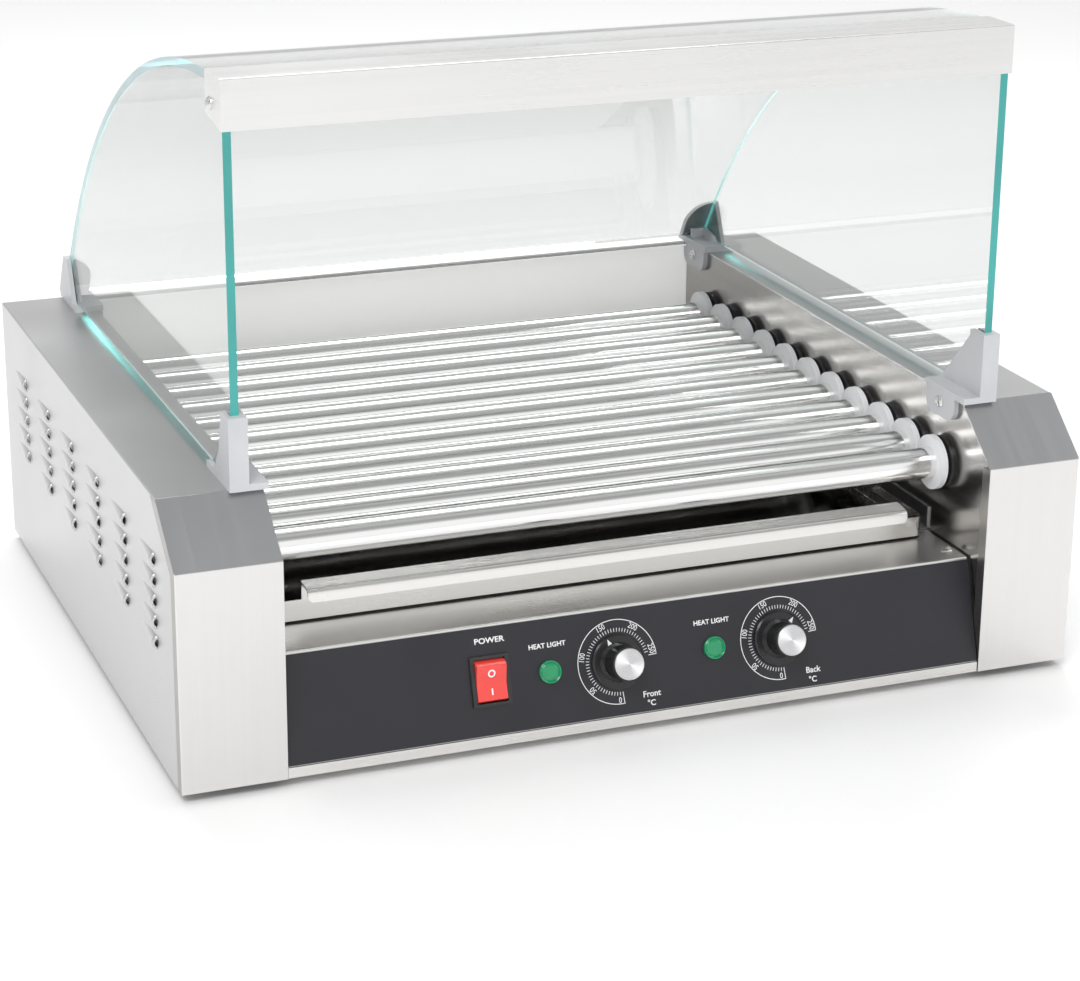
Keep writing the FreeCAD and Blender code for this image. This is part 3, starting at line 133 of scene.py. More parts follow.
def make_studio():
    """A pale floor, the surround and the soft lights."""
    bm = bmesh.new()
    bmesh.ops.create_grid(bm, x_segments=1, y_segments=1, size=FLOOR_REACH)
    floor = add_piece("studio_floor", bm, floor_paint(), body=None)
    light_surround()
    for light in SOFT_LIGHTS:
        soft_light(*light)


# ----------------------------------------------------------------------------------------------
# Making pieces
# ----------------------------------------------------------------------------------------------

SAME_SPOT = 1e-6


def add_piece(name, bm, finish, body="chassis", smooth=None):
    """Turn a bmesh into a named piece that rides on a body. smooth is an angle in degrees."""
    mesh = bpy.data.meshes.new(name)
    bm.to_mesh(mesh)
    bm.free()
    piece = bpy.data.objects.new(name, mesh)
    scene.collection.objects.link(piece)
    mesh.materials.append(finish)
    if smooth is not None:
        for face in mesh.polygons:
            face.use_smooth = True
        mesh.set_sharp_from_angle(angle=math.radians(smooth))
    if body is not None:
        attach(piece, body)
    return piece


def lathe(outline, steps):
    """A solid turned about Z from (radius, height) points."""
    bm = bmesh.new()
    verts = [bm.verts.new((radius, 0, height)) for radius, height in outline]
    edges = [bm.edges.new(pair) for pair in zip(verts, verts[1:])]
    bmesh.ops.spin(
        bm, geom=verts + edges, cent=(0, 0, 0), axis=(0, 0, 1), angle=2 * math.pi, steps=steps,
        use_merge=True,
    )
    bmesh.ops.remove_doubles(bm, verts=bm.verts, dist=SAME_SPOT)
    bmesh.ops.recalc_face_normals(bm, faces=bm.faces)
    return bm


def carved(solid, tool):
    """The mesh left when a tool is taken out of a solid."""
    pieces = []
    for bm in (solid, tool):
        mesh = bpy.data.meshes.new("carving")
        bm.to_mesh(mesh)
        bm.free()
        piece = bpy.data.objects.new("carving", mesh)
        scene.collection.objects.link(piece)
        pieces.append(piece)
    taking = pieces[0].modifiers.new("take", "BOOLEAN")
    taking.operation = "DIFFERENCE"
    taking.solver = "EXACT"
    taking.use_self = True
    taking.object = pieces[1]
    bpy.context.view_layer.update()
    settled = pieces[0].evaluated_get(bpy.context.evaluated_depsgraph_get())
    shape = bpy.data.meshes.new_from_object(settled)
    for piece in pieces:
        bpy.data.objects.remove(piece)
    return shape


def surface_of(node):
    """A tree that finds where a line meets a node's skin."""
    mesh = frame["nodes"][node].data
    mesh.calc_loop_triangles()
    corners = [vertex.co.copy() for vertex in mesh.vertices]
    return BVHTree.FromPolygons(corners, [tuple(face.vertices) for face in mesh.loop_triangles])


def islands(node):
    """The points of each separate lump of a node."""
    bm = bmesh.new()
    bm.from_mesh(frame["nodes"][node].data)
    bmesh.ops.remove_doubles(bm, verts=bm.verts, dist=SAME_SPOT)
    seen, found = set(), []
    for first in bm.verts:
        if first in seen:
            continue
        seen.add(first)
        heap, lump = [first], []
        while heap:
            vertex = heap.pop()
            lump.append(vertex.co.copy())
            for edge in vertex.link_edges:
                other = edge.other_vert(vertex)
                if other not in seen:
                    seen.add(other)
                    heap.append(other)
        found.append(lump)
    bm.free()
    return found


# ----------------------------------------------------------------------------------------------
# Shader building blocks
# ----------------------------------------------------------------------------------------------

FLOAT, VECTOR = "NodeSocketFloat", "NodeSocketVector"
# Most of a noise's values lie within this span.
NOISE_SPAN = (0.3, 0.7)
# A Mix node's sockets for numbers and for colours share their names, so they go by place.
MIX_FACTOR, MIX_NUMBER_A, MIX_NUMBER_B, MIX_COLOUR_A, MIX_COLOUR_B = 0, 2, 3, 6, 7
MIX_NUMBER_OUT, MIX_COLOUR_OUT = 0, 2


def wire(tree, start, end):
    tree.links.new(start, end)


def math_node(tree, operation, first, second=None, clamp=False):
    node = tree.nodes.new("ShaderNodeMath")
    node.operation = operation
    node.use_clamp = clamp
    for socket, value in zip(node.inputs, (first, second)):
        if value is None:
            continue
        if isinstance(value, (int, float)):
            socket.default_value = value
        else:
            wire(tree, value, socket)
    return node.outputs[0]


def vector_node(tree, operation, first, second=None):
    node = tree.nodes.new("ShaderNodeVectorMath")
    node.operation = operation
    wire(tree, first, node.inputs[0])
    if isinstance(second, tuple):
        node.inputs[1].default_value = second
    elif second is not None:
        wire(tree, second, node.inputs[1])
    return node.outputs["Value" if operation == "LENGTH" else "Vector"]


def part_of(tree, vector, axis):
    """One of a vector's three numbers."""
    parts = tree.nodes.new("ShaderNodeSeparateXYZ")
    wire(tree, vector, parts.inputs[0])
    return parts.outputs[axis]


def spread(tree, value, low, high, span=NOISE_SPAN):
    """Map a value that runs over a span onto the numbers from low to high."""
    node = tree.nodes.new("ShaderNodeMapRange")
    wire(tree, value, node.inputs["Value"])
    node.inputs["From Min"].default_value, node.inputs["From Max"].default_value = span
    node.inputs["To Min"].default_value = low
    node.inputs["To Max"].default_value = high
    return node.outputs["Result"]


def noise(tree, vector, scale, detail=2.0, rough=0.5):
    node = tree.nodes.new("ShaderNodeTexNoise")
    node.inputs["Scale"].default_value = scale
    node.inputs["Detail"].default_value = detail
    node.inputs["Roughness"].default_value = rough
    wire(tree, vector, node.inputs["Vector"])
    return node.outputs["Fac"]


def mix_number(tree, factor, first, second):
    """Blend from a value that varies to a plain number."""
    node = tree.nodes.new("ShaderNodeMix")
    wire(tree, factor, node.inputs[MIX_FACTOR])
    wire(tree, first, node.inputs[MIX_NUMBER_A])
    node.inputs[MIX_NUMBER_B].default_value = second
    return node.outputs[MIX_NUMBER_OUT]


def mix_colour(tree, factor, first, second):
    """Blend two colours, each plain or one that varies."""
    node = tree.nodes.new("ShaderNodeMix")
    node.data_type = "RGBA"
    wire(tree, factor, node.inputs[MIX_FACTOR])
    for place, value in ((MIX_COLOUR_A, first), (MIX_COLOUR_B, second)):
        if isinstance(value, tuple):
            node.inputs[place].default_value = (*value, 1)
        else:
            wire(tree, value, node.inputs[place])
    return node.outputs[MIX_COLOUR_OUT]


def lay_over(tree, socket, mask, colour):
    """Lay a colour over what feeds a socket, where the mask is 1."""
    source = socket.links[0].from_socket
    wire(tree, mix_colour(tree, mask, source, colour), socket)


def bump(tree, shader, height, strength, distance):
    node = tree.nodes.new("ShaderNodeBump")
    node.inputs["Strength"].default_value = strength
    node.inputs["Distance"].default_value = distance
    wire(tree, height, node.inputs["Height"])
    wire(tree, node.outputs[0], shader.inputs["Normal"])


def open_finish(made):
    """A material's tree, shader and coordinates."""
    tree = made.node_tree
    return tree, tree.nodes["Principled BSDF"], tree.nodes.new("ShaderNodeTexCoord").outputs


def new_finish(name):
    """An empty material, with its tree, shader and coordinates."""
    made = bpy.data.materials.new(name)
    made.use_nodes = True
    return made, *open_finish(made)


# ----------------------------------------------------------------------------------------------
# Shared effects
# ----------------------------------------------------------------------------------------------

def new_group(name, takes, gives):
    """An empty node group. takes holds (name, kind, value), gives holds (name, kind)."""
    group = bpy.data.node_groups.new(name, "ShaderNodeTree")
    for label, kind, value in takes:
        socket = group.interface.new_socket(label, in_out="INPUT", socket_type=kind)
        if value is not None:
            socket.default_value = value
    for label, kind in gives:
        group.interface.new_socket(label, in_out="OUTPUT", socket_type=kind)
    return group, group.nodes.new("NodeGroupInput"), group.nodes.new("NodeGroupOutput")


def build_grain():
    """Lines of brushing or polishing: short scratches drawn out along one direction."""
    group, ins, outs = new_group(
        "brushed_grain",
        [("Vector", VECTOR, None), ("Stretch", VECTOR, (4, 700, 700))],
        [("Line", FLOAT), ("Cloud", FLOAT)],
    )
    scaled = vector_node(group, "MULTIPLY", ins.outputs["Vector"], ins.outputs["Stretch"])
    wire(group, noise(group, scaled, 1.0, 3.0, 0.6), outs.inputs["Line"])
    wire(group, noise(group, ins.outputs["Vector"], 9.0), outs.inputs["Cloud"])
    return group


def build_skin():
    """The faint unevenness of a moulded or painted skin."""
    group, ins, outs = new_group(
        "moulded_skin",
        [("Vector", VECTOR, None), ("Size", FLOAT, 900.0)],
        [("Height", FLOAT), ("Cloud", FLOAT)],
    )
    skin = group.nodes.new("ShaderNodeTexNoise")
    skin.inputs["Detail"].default_value = 2.0
    wire(group, ins.outputs["Vector"], skin.inputs["Vector"])
    wire(group, ins.outputs["Size"], skin.inputs["Scale"])
    wire(group, skin.outputs["Fac"], outs.inputs["Height"])
    wire(group, noise(group, ins.outputs["Vector"], 22.0, 3.0, 0.55), outs.inputs["Cloud"])
    return group


def place_group(tree, group, **values):
    node = tree.nodes.new("ShaderNodeGroup")
    node.node_tree = group
    for label, value in values.items():
        if isinstance(value, (int, float, tuple)):
            node.inputs[label].default_value = value
        else:
            wire(tree, value, node.inputs[label])
    return node.outputs


BRUSHED_GRAIN, MOULDED_SKIN = build_grain(), build_skin()


# ----------------------------------------------------------------------------------------------
# Finishes
# ----------------------------------------------------------------------------------------------

def sheet_steel(name, dark, light, rough, stretch, depth=0.000006, cloud=0.08, metallic=1.0):
    """Steel with a brushed or rolled grain. Its roughness and colour wander along the lines."""
    made, tree, shader, spot = new_finish(name)
    grain = place_group(tree, BRUSHED_GRAIN, Vector=spot["Object"], Stretch=stretch)
    line_share = math_node(tree, "MULTIPLY", grain["Line"], 0.6)
    cloud_share = math_node(tree, "MULTIPLY", grain["Cloud"], 0.4)
    tone = spread(tree, math_node(tree, "ADD", line_share, cloud_share), 0, 1)
    wire(tree, mix_colour(tree, tone, dark, light), shader.inputs["Base Color"])
    lines = spread(tree, grain["Line"], -0.03, 0.03)
    clouds = spread(tree, grain["Cloud"], -cloud / 2, cloud / 2)
    wander = math_node(tree, "ADD", lines, clouds)
    wire(tree, math_node(tree, "ADD", wander, rough, clamp=True), shader.inputs["Roughness"])
    shader.inputs["Metallic"].default_value = metallic
    bump(tree, shader, grain["Line"], 0.5, depth)
    return made


def moulded(name, dark, light, rough, size=900.0, depth=0.00002, coat=0.0, through=0.0):
    """Plastic, rubber, ceramic or paint with a fine skin and a little unevenness of colour."""
    made, tree, shader, spot = new_finish(name)
    skin = place_group(tree, MOULDED_SKIN, Vector=spot["Object"], Size=size)
    tone = spread(tree, skin["Cloud"], 0, 1)
    wire(tree, mix_colour(tree, tone, dark, light), shader.inputs["Base Color"])
    wire(tree, spread(tree, skin["Cloud"], rough - 0.05, rough + 0.05), shader.inputs["Roughness"])
    shader.inputs["Coat Weight"].default_value = coat
    shader.inputs["Coat Roughness"].default_value = 0.08
    if through:
        shader.inputs["Subsurface Weight"].default_value = through
        shader.inputs["Subsurface Radius"].default_value = (0.004, 0.004, 0.004)
    bump(tree, shader, skin["Height"], 0.4, depth)
    return made


def glow(made, colour, strength):
    """Let a material give off a plain light of its own."""
    shader = made.node_tree.nodes["Principled BSDF"]
    shader.inputs["Emission Color"].default_value = (*colour, 1)
    shader.inputs["Emission Strength"].default_value = strength


def floor_paint():
    made, tree, shader, spot = new_finish("floor_paint")
    cloud = noise(tree, spot["Object"], 1.5)
    pale = mix_colour(tree, cloud, (0.93, 0.93, 0.93), (0.96, 0.96, 0.96))
    wire(tree, pale, shader.inputs["Base Color"])
    shader.inputs["Roughness"].default_value = 0.55
    return made


def clear_glass(name, edge_test, edge_glow, rear_glow=None):
    """Clear plate whose cut edges glow sea-green, a painted light for what the glass carries out
    through its edges. edge_test tells the cut edges by how far they face along X. rear_glow is the
    painted glow for the edges that don't face forwards."""
    made, tree, shader, spot = new_finish(name)
    sideways = math_node(tree, "ABSOLUTE", part_of(tree, spot["Normal"], "X"))
    edge = math_node(tree, edge_test, sideways, 0.5)
    wander = spread(tree, noise(tree, spot["Object"], 14.0), 0, 1, (0.35, 0.65))
    lit = mix_colour(tree, wander, edge_glow, tuple(0.8 * part for part in edge_glow))
    # Painted shade: the cut edges that face down glow only faintly, and those that don't face
    # forwards take rear_glow's dimmer glow.
    downward_shade = math_node(tree, "LESS_THAN", part_of(tree, spot["Normal"], "Z"), -0.9)
    lit = mix_colour(tree, downward_shade, lit, (0.08, 0.1, 0.1))
    if rear_glow:
        behind = math_node(tree, "GREATER_THAN", part_of(tree, spot["Normal"], "Y"), -0.5)
        lit = mix_colour(tree, behind, lit, rear_glow)
    tint = mix_colour(tree, edge, (0.79, 0.81, 0.80), (0.3, 0.8, 0.74))
    wire(tree, tint, shader.inputs["Base Color"])
    wire(tree, mix_colour(tree, edge, (0.0, 0.0, 0.0), lit), shader.inputs["Emission Color"])
    shader.inputs["Emission Strength"].default_value = 1.0
    shader.inputs["Roughness"].default_value = 0.0
    shader.inputs["IOR"].default_value = 1.5
    shader.inputs["Transmission Weight"].default_value = 1.0
    return made


def cover_finish():
    """Brushed steel with painted shade: darker on its sloping faces, and darker still where it wraps
    round the side.
    """
    made = sheet_steel(
        "cover_steel", (0.72, 0.71, 0.7), (0.75, 0.74, 0.73), 0.32, (260.0, 5.0, 5.0),
        depth=0.000002, cloud=0.04,
    )
    tree, shader, spot = open_finish(made)
    # Painted shade on the sloping top and chamfer faces of the same sheet.
    up = part_of(tree, spot["Normal"], "Z")
    rising = math_node(tree, "GREATER_THAN", up, 0.4)
    short_of_flat = math_node(tree, "LESS_THAN", up, 0.9)
    painted_shade_slope = math_node(tree, "MULTIPLY", rising, short_of_flat)
    lay_over(tree, shader.inputs["Base Color"], painted_shade_slope, (0.5, 0.505, 0.52))
    # Painted shade on the band where the cover wraps round the side.
    sideways = math_node(tree, "ABSOLUTE", part_of(tree, spot["Normal"], "X"))
    painted_shade_wrap = math_node(tree, "GREATER_THAN", sideways, 0.9)
    lay_over(tree, shader.inputs["Base Color"], painted_shade_wrap, (0.4, 0.385, 0.37))
    return made


def rear_finish():
    """Satin steel. Its forward face has painted light: a faint glow of its own, in place of what the
    hood's glass would let through, and a paler colour than its other faces, which are darker."""
    made = sheet_steel(
        "rear_steel", (0.86, 0.86, 0.85), (0.92, 0.92, 0.91), 0.6, (8.0, 60.0, 60.0),
        depth=0.000002, metallic=0.25,
    )
    tree, shader, spot = open_finish(made)
    behind = math_node(tree, "GREATER_THAN", part_of(tree, spot["Normal"], "Y"), -0.5)
    lit = mix_colour(tree, behind, (0.36, 0.36, 0.355), (0.0, 0.0, 0.0))
    wire(tree, lit, shader.inputs["Emission Color"])
    shader.inputs["Emission Strength"].default_value = 1.0
    # Painted light: the forward face keeps the pale colour and the other faces get the darker one.
    lay_over(tree, shader.inputs["Base Color"], behind, (0.42, 0.42, 0.415))
    return made


TRAY_FRONT, TRAY_DEPTH, TRAY_WALL = -0.1697, 0.013, 0.0014


def tray_finish():
    """Bright brushed steel outside, and painted shade inside the tray: a dark polished skin."""
    made = sheet_steel(
        "tray_steel", (0.78, 0.77, 0.75), (0.84, 0.83, 0.81), 0.24, (0.8, 160.0, 160.0),
        depth=0.0000005,
    )
    tree, shader, spot = open_finish(made)
    low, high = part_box("drip_tray")
    sideways = math_node(tree, "ABSOLUTE", part_of(tree, spot["Object"], "X"))
    shaded_hollow = math_node(tree, "LESS_THAN", sideways, high.x - TRAY_WALL)
    for axis, test, limit in (
        ("Y", "GREATER_THAN", TRAY_FRONT + TRAY_WALL),
        ("Z", "LESS_THAN", low.z + TRAY_DEPTH - TRAY_WALL),
    ):
        within = math_node(tree, test, part_of(tree, spot["Object"], axis), limit)
        shaded_hollow = math_node(tree, "MULTIPLY", shaded_hollow, within)
    # Painted shade: the inside of the tray is made nearly black, where little light reaches under
    # the rollers.
    lay_over(tree, shader.inputs["Base Color"], shaded_hollow, (0.06, 0.055, 0.05))
    rough = shader.inputs["Roughness"]
    wire(tree, mix_number(tree, shaded_hollow, rough.links[0].from_socket, 0.09), rough)
    return made


PANEL_IN = Vector(joints["front_knob_turn"]["axis"])
PANEL_OUT = -PANEL_IN
PANEL_UP = PANEL_OUT.cross(X)
# The turn about X that lays the leaning panel's axes on the machine's.
PANEL_LEAN = math.atan2(PANEL_IN.y, -PANEL_IN.z)


def spun_cap(name, joint):
    """Turned aluminium: fine rings round the cap's axis, and two painted highlights across them."""
    made, tree, shader, spot = new_finish(name)
    centred = tree.nodes.new("ShaderNodeMapping")
    centred.vector_type = "POINT"
    middle = Matrix.Rotation(-PANEL_LEAN, 3, "X") @ Vector(joints[joint]["pos_m"])
    centred.inputs["Location"].default_value = -middle
    centred.inputs["Rotation"].default_value = (-PANEL_LEAN, 0, 0)
    wire(tree, spot["Object"], centred.inputs["Vector"])
    flat = vector_node(tree, "MULTIPLY", centred.outputs[0], (1, 1, 0))
    along = tree.nodes.new("ShaderNodeCombineXYZ")
    wire(tree, vector_node(tree, "LENGTH", flat), along.inputs[0])
    rings = noise(tree, along.outputs[0], 3500.0, 2.0, 0.6)
    # Painted highlight: two bright wedges across the rings, laid into the colour.
    angle = math_node(tree, "ARCTAN2", part_of(tree, flat, "Y"), part_of(tree, flat, "X"))
    twice = math_node(tree, "MULTIPLY", math_node(tree, "ADD", angle, 0.6), 2.0)
    wave = math_node(tree, "ADD", math_node(tree, "COSINE", twice), 1.0)
    painted_glints = math_node(tree, "POWER", math_node(tree, "MULTIPLY", wave, 0.5), 3.0)
    tone = mix_colour(tree, spread(tree, rings, 0, 1), (0.48, 0.48, 0.49), (0.78, 0.78, 0.79))
    wire(tree, mix_colour(tree, painted_glints, tone, (1.0, 1.0, 1.0)), shader.inputs["Base Color"])
    shader.inputs["Metallic"].default_value = 1.0
    wire(tree, spread(tree, rings, 0.22, 0.4), shader.inputs["Roughness"])
    bump(tree, shader, rings, 0.5, 0.00003)
    return made


# ----------------------------------------------------------------------------------------------
# Studio, and a finish for every node
# ----------------------------------------------------------------------------------------------

scene.view_settings.view_transform = "Standard"
make_camera()
make_studio()

cover_steel = cover_finish()
rear_steel = rear_finish()
tray_steel = tray_finish()
# Painted shade: the side covers are the same steel as the front covers, made darker for the shade on
# the machine's sides.
side_steel = sheet_steel(
    "side_steel", (0.57, 0.57, 0.57), (0.61, 0.61, 0.61), 0.34, (5.0, 5.0, 5.0), depth=0.000001,
)
front_steel = sheet_steel(
    "front_steel", (0.75, 0.74, 0.72), (0.81, 0.8, 0.78), 0.3, (3.0, 400.0, 400.0), depth=0.000001,
)
rail_steel = sheet_steel(
    "rail_steel", (0.79, 0.785, 0.78), (0.83, 0.825, 0.82), 0.3, (3.0, 400.0, 400.0), depth=0.000003,
)
# Painted shade: the inner walls' polished steel is made dark, for the dark inside of the machine
# that they mirror.
wall_steel = sheet_steel(
    "wall_steel", (0.33, 0.32, 0.31), (0.39, 0.38, 0.37), 0.22, (500.0, 4.0, 120.0),
    depth=0.000001, cloud=0.04,
)
roller_steel = sheet_steel(
    "roller_steel", (0.88, 0.88, 0.875), (0.93, 0.93, 0.925), 0.15, (0.5, 260.0, 260.0),
    depth=0.0000005, cloud=0.03,
)
plain_steel = sheet_steel(
    "plain_steel", (0.32, 0.32, 0.33), (0.48, 0.48, 0.49), 0.4, (300.0, 300.0, 300.0),
)
chain_steel = sheet_steel(
    "chain_steel", (0.14, 0.14, 0.15), (0.28, 0.28, 0.29), 0.38, (300.0, 300.0, 300.0),
)
heater_steel = sheet_steel(
    "heater_steel", (0.22, 0.2, 0.17), (0.42, 0.38, 0.32), 0.4, (20.0, 300.0, 300.0),
)
screw_steel = sheet_steel(
    "screw_steel", (0.62, 0.62, 0.62), (0.78, 0.78, 0.78), 0.22, (400.0, 400.0, 400.0),
)
motor_paint = moulded("motor_paint", (0.2, 0.21, 0.23), (0.3, 0.31, 0.33), 0.5, 500.0, 0.00006)
fascia_black = moulded(
    "fascia_black", (0.010, 0.010, 0.015), (0.015, 0.015, 0.021), 0.46, 1500.0, 0.00001,
)
collar_white = moulded("collar_white", (0.78, 0.785, 0.8), (0.85, 0.855, 0.87), 0.38, through=0.2)
insulator_cream = moulded("insulator_cream", (0.75, 0.72, 0.65), (0.86, 0.83, 0.77), 0.6, 700.0)
black_plastic = moulded("black_plastic", (0.015, 0.015, 0.016), (0.025, 0.025, 0.026), 0.38)
knob_black = moulded("knob_black", (0.01, 0.01, 0.011), (0.018, 0.018, 0.019), 0.26)
switch_red = moulded(
    "switch_red", (0.7, 0.035, 0.03), (0.8, 0.055, 0.045), 0.22, 600.0, coat=0.5, through=0.2,
)
glow(switch_red, (1.0, 0.16, 0.12), 0.07)
lamp_green = moulded(
    "lamp_green", (0.0, 0.22, 0.085), (0.005, 0.3, 0.12), 0.2, 400.0, coat=0.5, through=0.3,
)
glow(lamp_green, (0.0, 0.6, 0.25), 0.04)
clip_grey = moulded("clip_grey", (0.52, 0.53, 0.55), (0.58, 0.59, 0.61), 0.36)
foot_rubber = moulded("foot_rubber", (0.018, 0.018, 0.018), (0.03, 0.03, 0.03), 0.75, 700.0, 0.00005)
print_white = moulded("print_white", (0.82, 0.82, 0.83), (0.9, 0.9, 0.9), 0.5)
# The colours given to the glass are its edges' painted glow.
pane_glass = clear_glass("pane_glass", "LESS_THAN", (0.07, 0.45, 0.42), rear_glow=(0.1, 0.2, 0.2))
bent_glass = clear_glass("bent_glass", "GREATER_THAN", (0.32, 0.43, 0.45))
front_cap = spun_cap("front_knob_cap", "front_knob_turn")
back_cap = spun_cap("back_knob_cap", "back_knob_turn")

NODE_FINISH = {
    "base_pan": cover_steel, "feet": foot_rubber, "rear_panel": rear_steel,
    "right_inner_wall": wall_steel, "left_inner_wall": wall_steel,
    "right_front_cover": cover_steel, "left_front_cover": cover_steel,
    "right_side_cover": side_steel, "left_side_cover": side_steel,
    "cord_gland": black_plastic, "roller_bearings": black_plastic, "roller_collars": collar_white,
    "heating_elements": heater_steel, "heater_insulators": insulator_cream,
    "gear_motor": motor_paint, "drive_chain": chain_steel,
    "drip_tray": tray_steel, "front_housing": front_steel, "control_fascia": fascia_black,
    "switch_bezel": black_plastic, "switch_rocker": switch_red, "heat_lamps": lamp_green,
    "front_knob": knob_black, "back_knob": knob_black,
    "front_knob_cap": front_cap, "back_knob_cap": back_cap,
    "curved_glass": bent_glass, "right_pane": pane_glass, "left_pane": pane_glass,
    "header_rail": rail_steel, "front_clips": clip_grey, "rear_clips": clip_grey,
    "fasteners": screw_steel,
}
for name, node in frame["nodes"].items():
    usual = roller_steel if name.startswith("roller_") else plain_steel
    for material_slot in node.material_slots:
        material_slot.material = NODE_FINISH.get(name, usual)


# ----------------------------------------------------------------------------------------------
# Printing on the panel, the knobs and the switch
# ----------------------------------------------------------------------------------------------

DIAL_SPOTS = {
    "front": Vector(joints["front_knob_turn"]["pos_m"]),
    "back": Vector(joints["back_knob_turn"]["pos_m"]),
}
# A drawing's x runs across the machine and its y up the panel, from the panel's foot.
CONTROL_HEIGHT = 0.033
PANEL_FOOT = DIAL_SPOTS["front"] - PANEL_UP * CONTROL_HEIGHT
PANEL_FOOT.x = 0
PRINT_THICK, PRINT_START = 0.00004, 0.05

SCALE_TOP, SCALE_STEP, NUMBER_STEP = 250, 5, 50
ZERO_ANGLE, FULL_ANGLE = math.radians(275), math.radians(5)
END_TURN = math.radians(1.2)
SCALE_RADIUS, SCALE_LINE, END_RADIUS = 0.0256, 0.00045, 0.0258
TICK_INNER, TICK_OUTER, TICK_LINE, ZERO_INNER = 0.0183, 0.0205, 0.00036, 0.0185
NUMBER_RADIUS, NUMBER_SIZE, NUMBER_SQUEEZE = 0.02305, 0.005, 0.82
# The first and last numbers sit inside the scale's end lines.
NUMBER_INSET = {0: -0.11, SCALE_TOP: 0.14}
POINTER_TIP, POINTER_FOOT, POINTER_SPREAD = 0.0157, 0.0121, 0.115
MARK_LINE, RING_RISE, RING_RADIUS, BAR_DROP, BAR_LENGTH = 0.0009, 0.0045, 0.0019, 0.0045, 0.004
LABEL_WEIGHT = 0.00012
# Each label's words, x, y, letter size and stretch across.
LABELS = [
    ("POWER", -0.0966, 0.0568, 0.0047, 1.16),
    ("HEAT LIGHT", -0.0605, 0.0489, 0.0041, 1.04),
    ("HEAT LIGHT", 0.0471, 0.0491, 0.0041, 1.04),
    ("Front", 0.0037, 0.0108, 0.0052, 1.0),
    ("Back", 0.1122, 0.0105, 0.0052, 1.0),
    ("°C", 0.0031, 0.0052, 0.0050, 1.0),
    ("°C", 0.1115, 0.0045, 0.0050, 1.0),
]


def print_on(name, bm, node, body="chassis"):
    """Lay a flat drawing on a node's skin and give it a film's thickness."""
    skin = surface_of(node)
    for vertex in bm.verts:
        across = PANEL_FOOT + X * vertex.co.x + PANEL_UP * vertex.co.y
        vertex.co = skin.ray_cast(across + PANEL_OUT * PRINT_START, PANEL_IN)[0]
    bmesh.ops.recalc_face_normals(bm, faces=bm.faces)
    if sum(face.normal.dot(PANEL_OUT) * face.calc_area() for face in bm.faces) < 0:
        bmesh.ops.reverse_faces(bm, faces=bm.faces)
    shape = bmesh.ops.extrude_face_region(bm, geom=bm.faces[:])
    lifted = [item for item in shape["geom"] if isinstance(item, bmesh.types.BMVert)]
    bmesh.ops.translate(bm, verts=lifted, vec=PANEL_OUT * PRINT_THICK)
    bmesh.ops.recalc_face_normals(bm, faces=bm.faces)
    add_piece(name, bm, print_white, body)


def add_words(bm, words, x, y, size, squeeze, weight=0.0, turn=0.0):
    """Write words centred on a point of the drawing. turn is in radians."""
    curve = bpy.data.curves.new("words", "FONT")
    curve.body = words
    curve.size = size
    curve.offset = weight
    curve.align_x, curve.align_y = "CENTER", "CENTER"
    curve.resolution_u = 3
    writing = bpy.data.objects.new("words", curve)
    scene.collection.objects.link(writing)
    bpy.context.view_layer.update()
    mesh = bpy.data.meshes.new_from_object(writing)
    bpy.data.objects.remove(writing)
    place = Matrix.Translation((x, y, 0)) @ Matrix.Rotation(turn, 4, "Z")
    mesh.transform(place @ Matrix.Scale(squeeze, 4, X))
    bm.from_mesh(mesh)


def add_stroke(bm, start, end, width):
    """A straight printed line."""
    start, end = Vector(start), Vector(end)
    side = Vector((start.y - end.y, end.x - start.x)).normalized() * width / 2
    corners = (start - side, end - side, end + side, start + side)
    bm.faces.new([bm.verts.new((*corner, 0)) for corner in corners])


def add_arc(bm, centre, radius, width, first, last, steps):
    """A printed arc between two angles, in radians."""
    rungs = []
    for step in range(steps + 1):
        angle = first + (last - first) * step / steps
        reaches = (radius - width / 2, radius + width / 2)
        rungs.append([bm.verts.new((*polar(centre, reach, angle), 0)) for reach in reaches])
    for (a, b), (c, d) in zip(rungs, rungs[1:]):
        bm.faces.new((a, b, d, c))


def polar(centre, radius, angle):
    return Vector(centre) + Vector((math.cos(angle), math.sin(angle))) * radius


def scale_angle(mark):
    """Where a temperature stands on the dial's scale."""
    return ZERO_ANGLE + (FULL_ANGLE - ZERO_ANGLE) * mark / SCALE_TOP


def make_dial_scale(dial):
    bm = bmesh.new()
    centre = (DIAL_SPOTS[dial].x, CONTROL_HEIGHT)
    add_arc(bm, centre, SCALE_RADIUS, SCALE_LINE, ZERO_ANGLE, FULL_ANGLE, 90)
    for angle, inner in ((ZERO_ANGLE, ZERO_INNER), (FULL_ANGLE - END_TURN, TICK_OUTER)):
        add_stroke(bm, polar(centre, inner, angle), polar(centre, END_RADIUS, angle), SCALE_LINE)
    for mark in range(SCALE_STEP, SCALE_TOP, SCALE_STEP):
        angle = scale_angle(mark)
        add_stroke(bm, polar(centre, TICK_INNER, angle), polar(centre, TICK_OUTER, angle), TICK_LINE)
    for mark in range(0, SCALE_TOP + 1, NUMBER_STEP):
        angle = scale_angle(mark) + NUMBER_INSET.get(mark, 0.0)
        place = polar(centre, NUMBER_RADIUS, angle)
        upright = angle - math.pi / 2
        add_words(bm, str(mark), place.x, place.y, NUMBER_SIZE, NUMBER_SQUEEZE, turn=upright)
    print_on(f"{dial}_dial_scale", bm, "control_fascia")


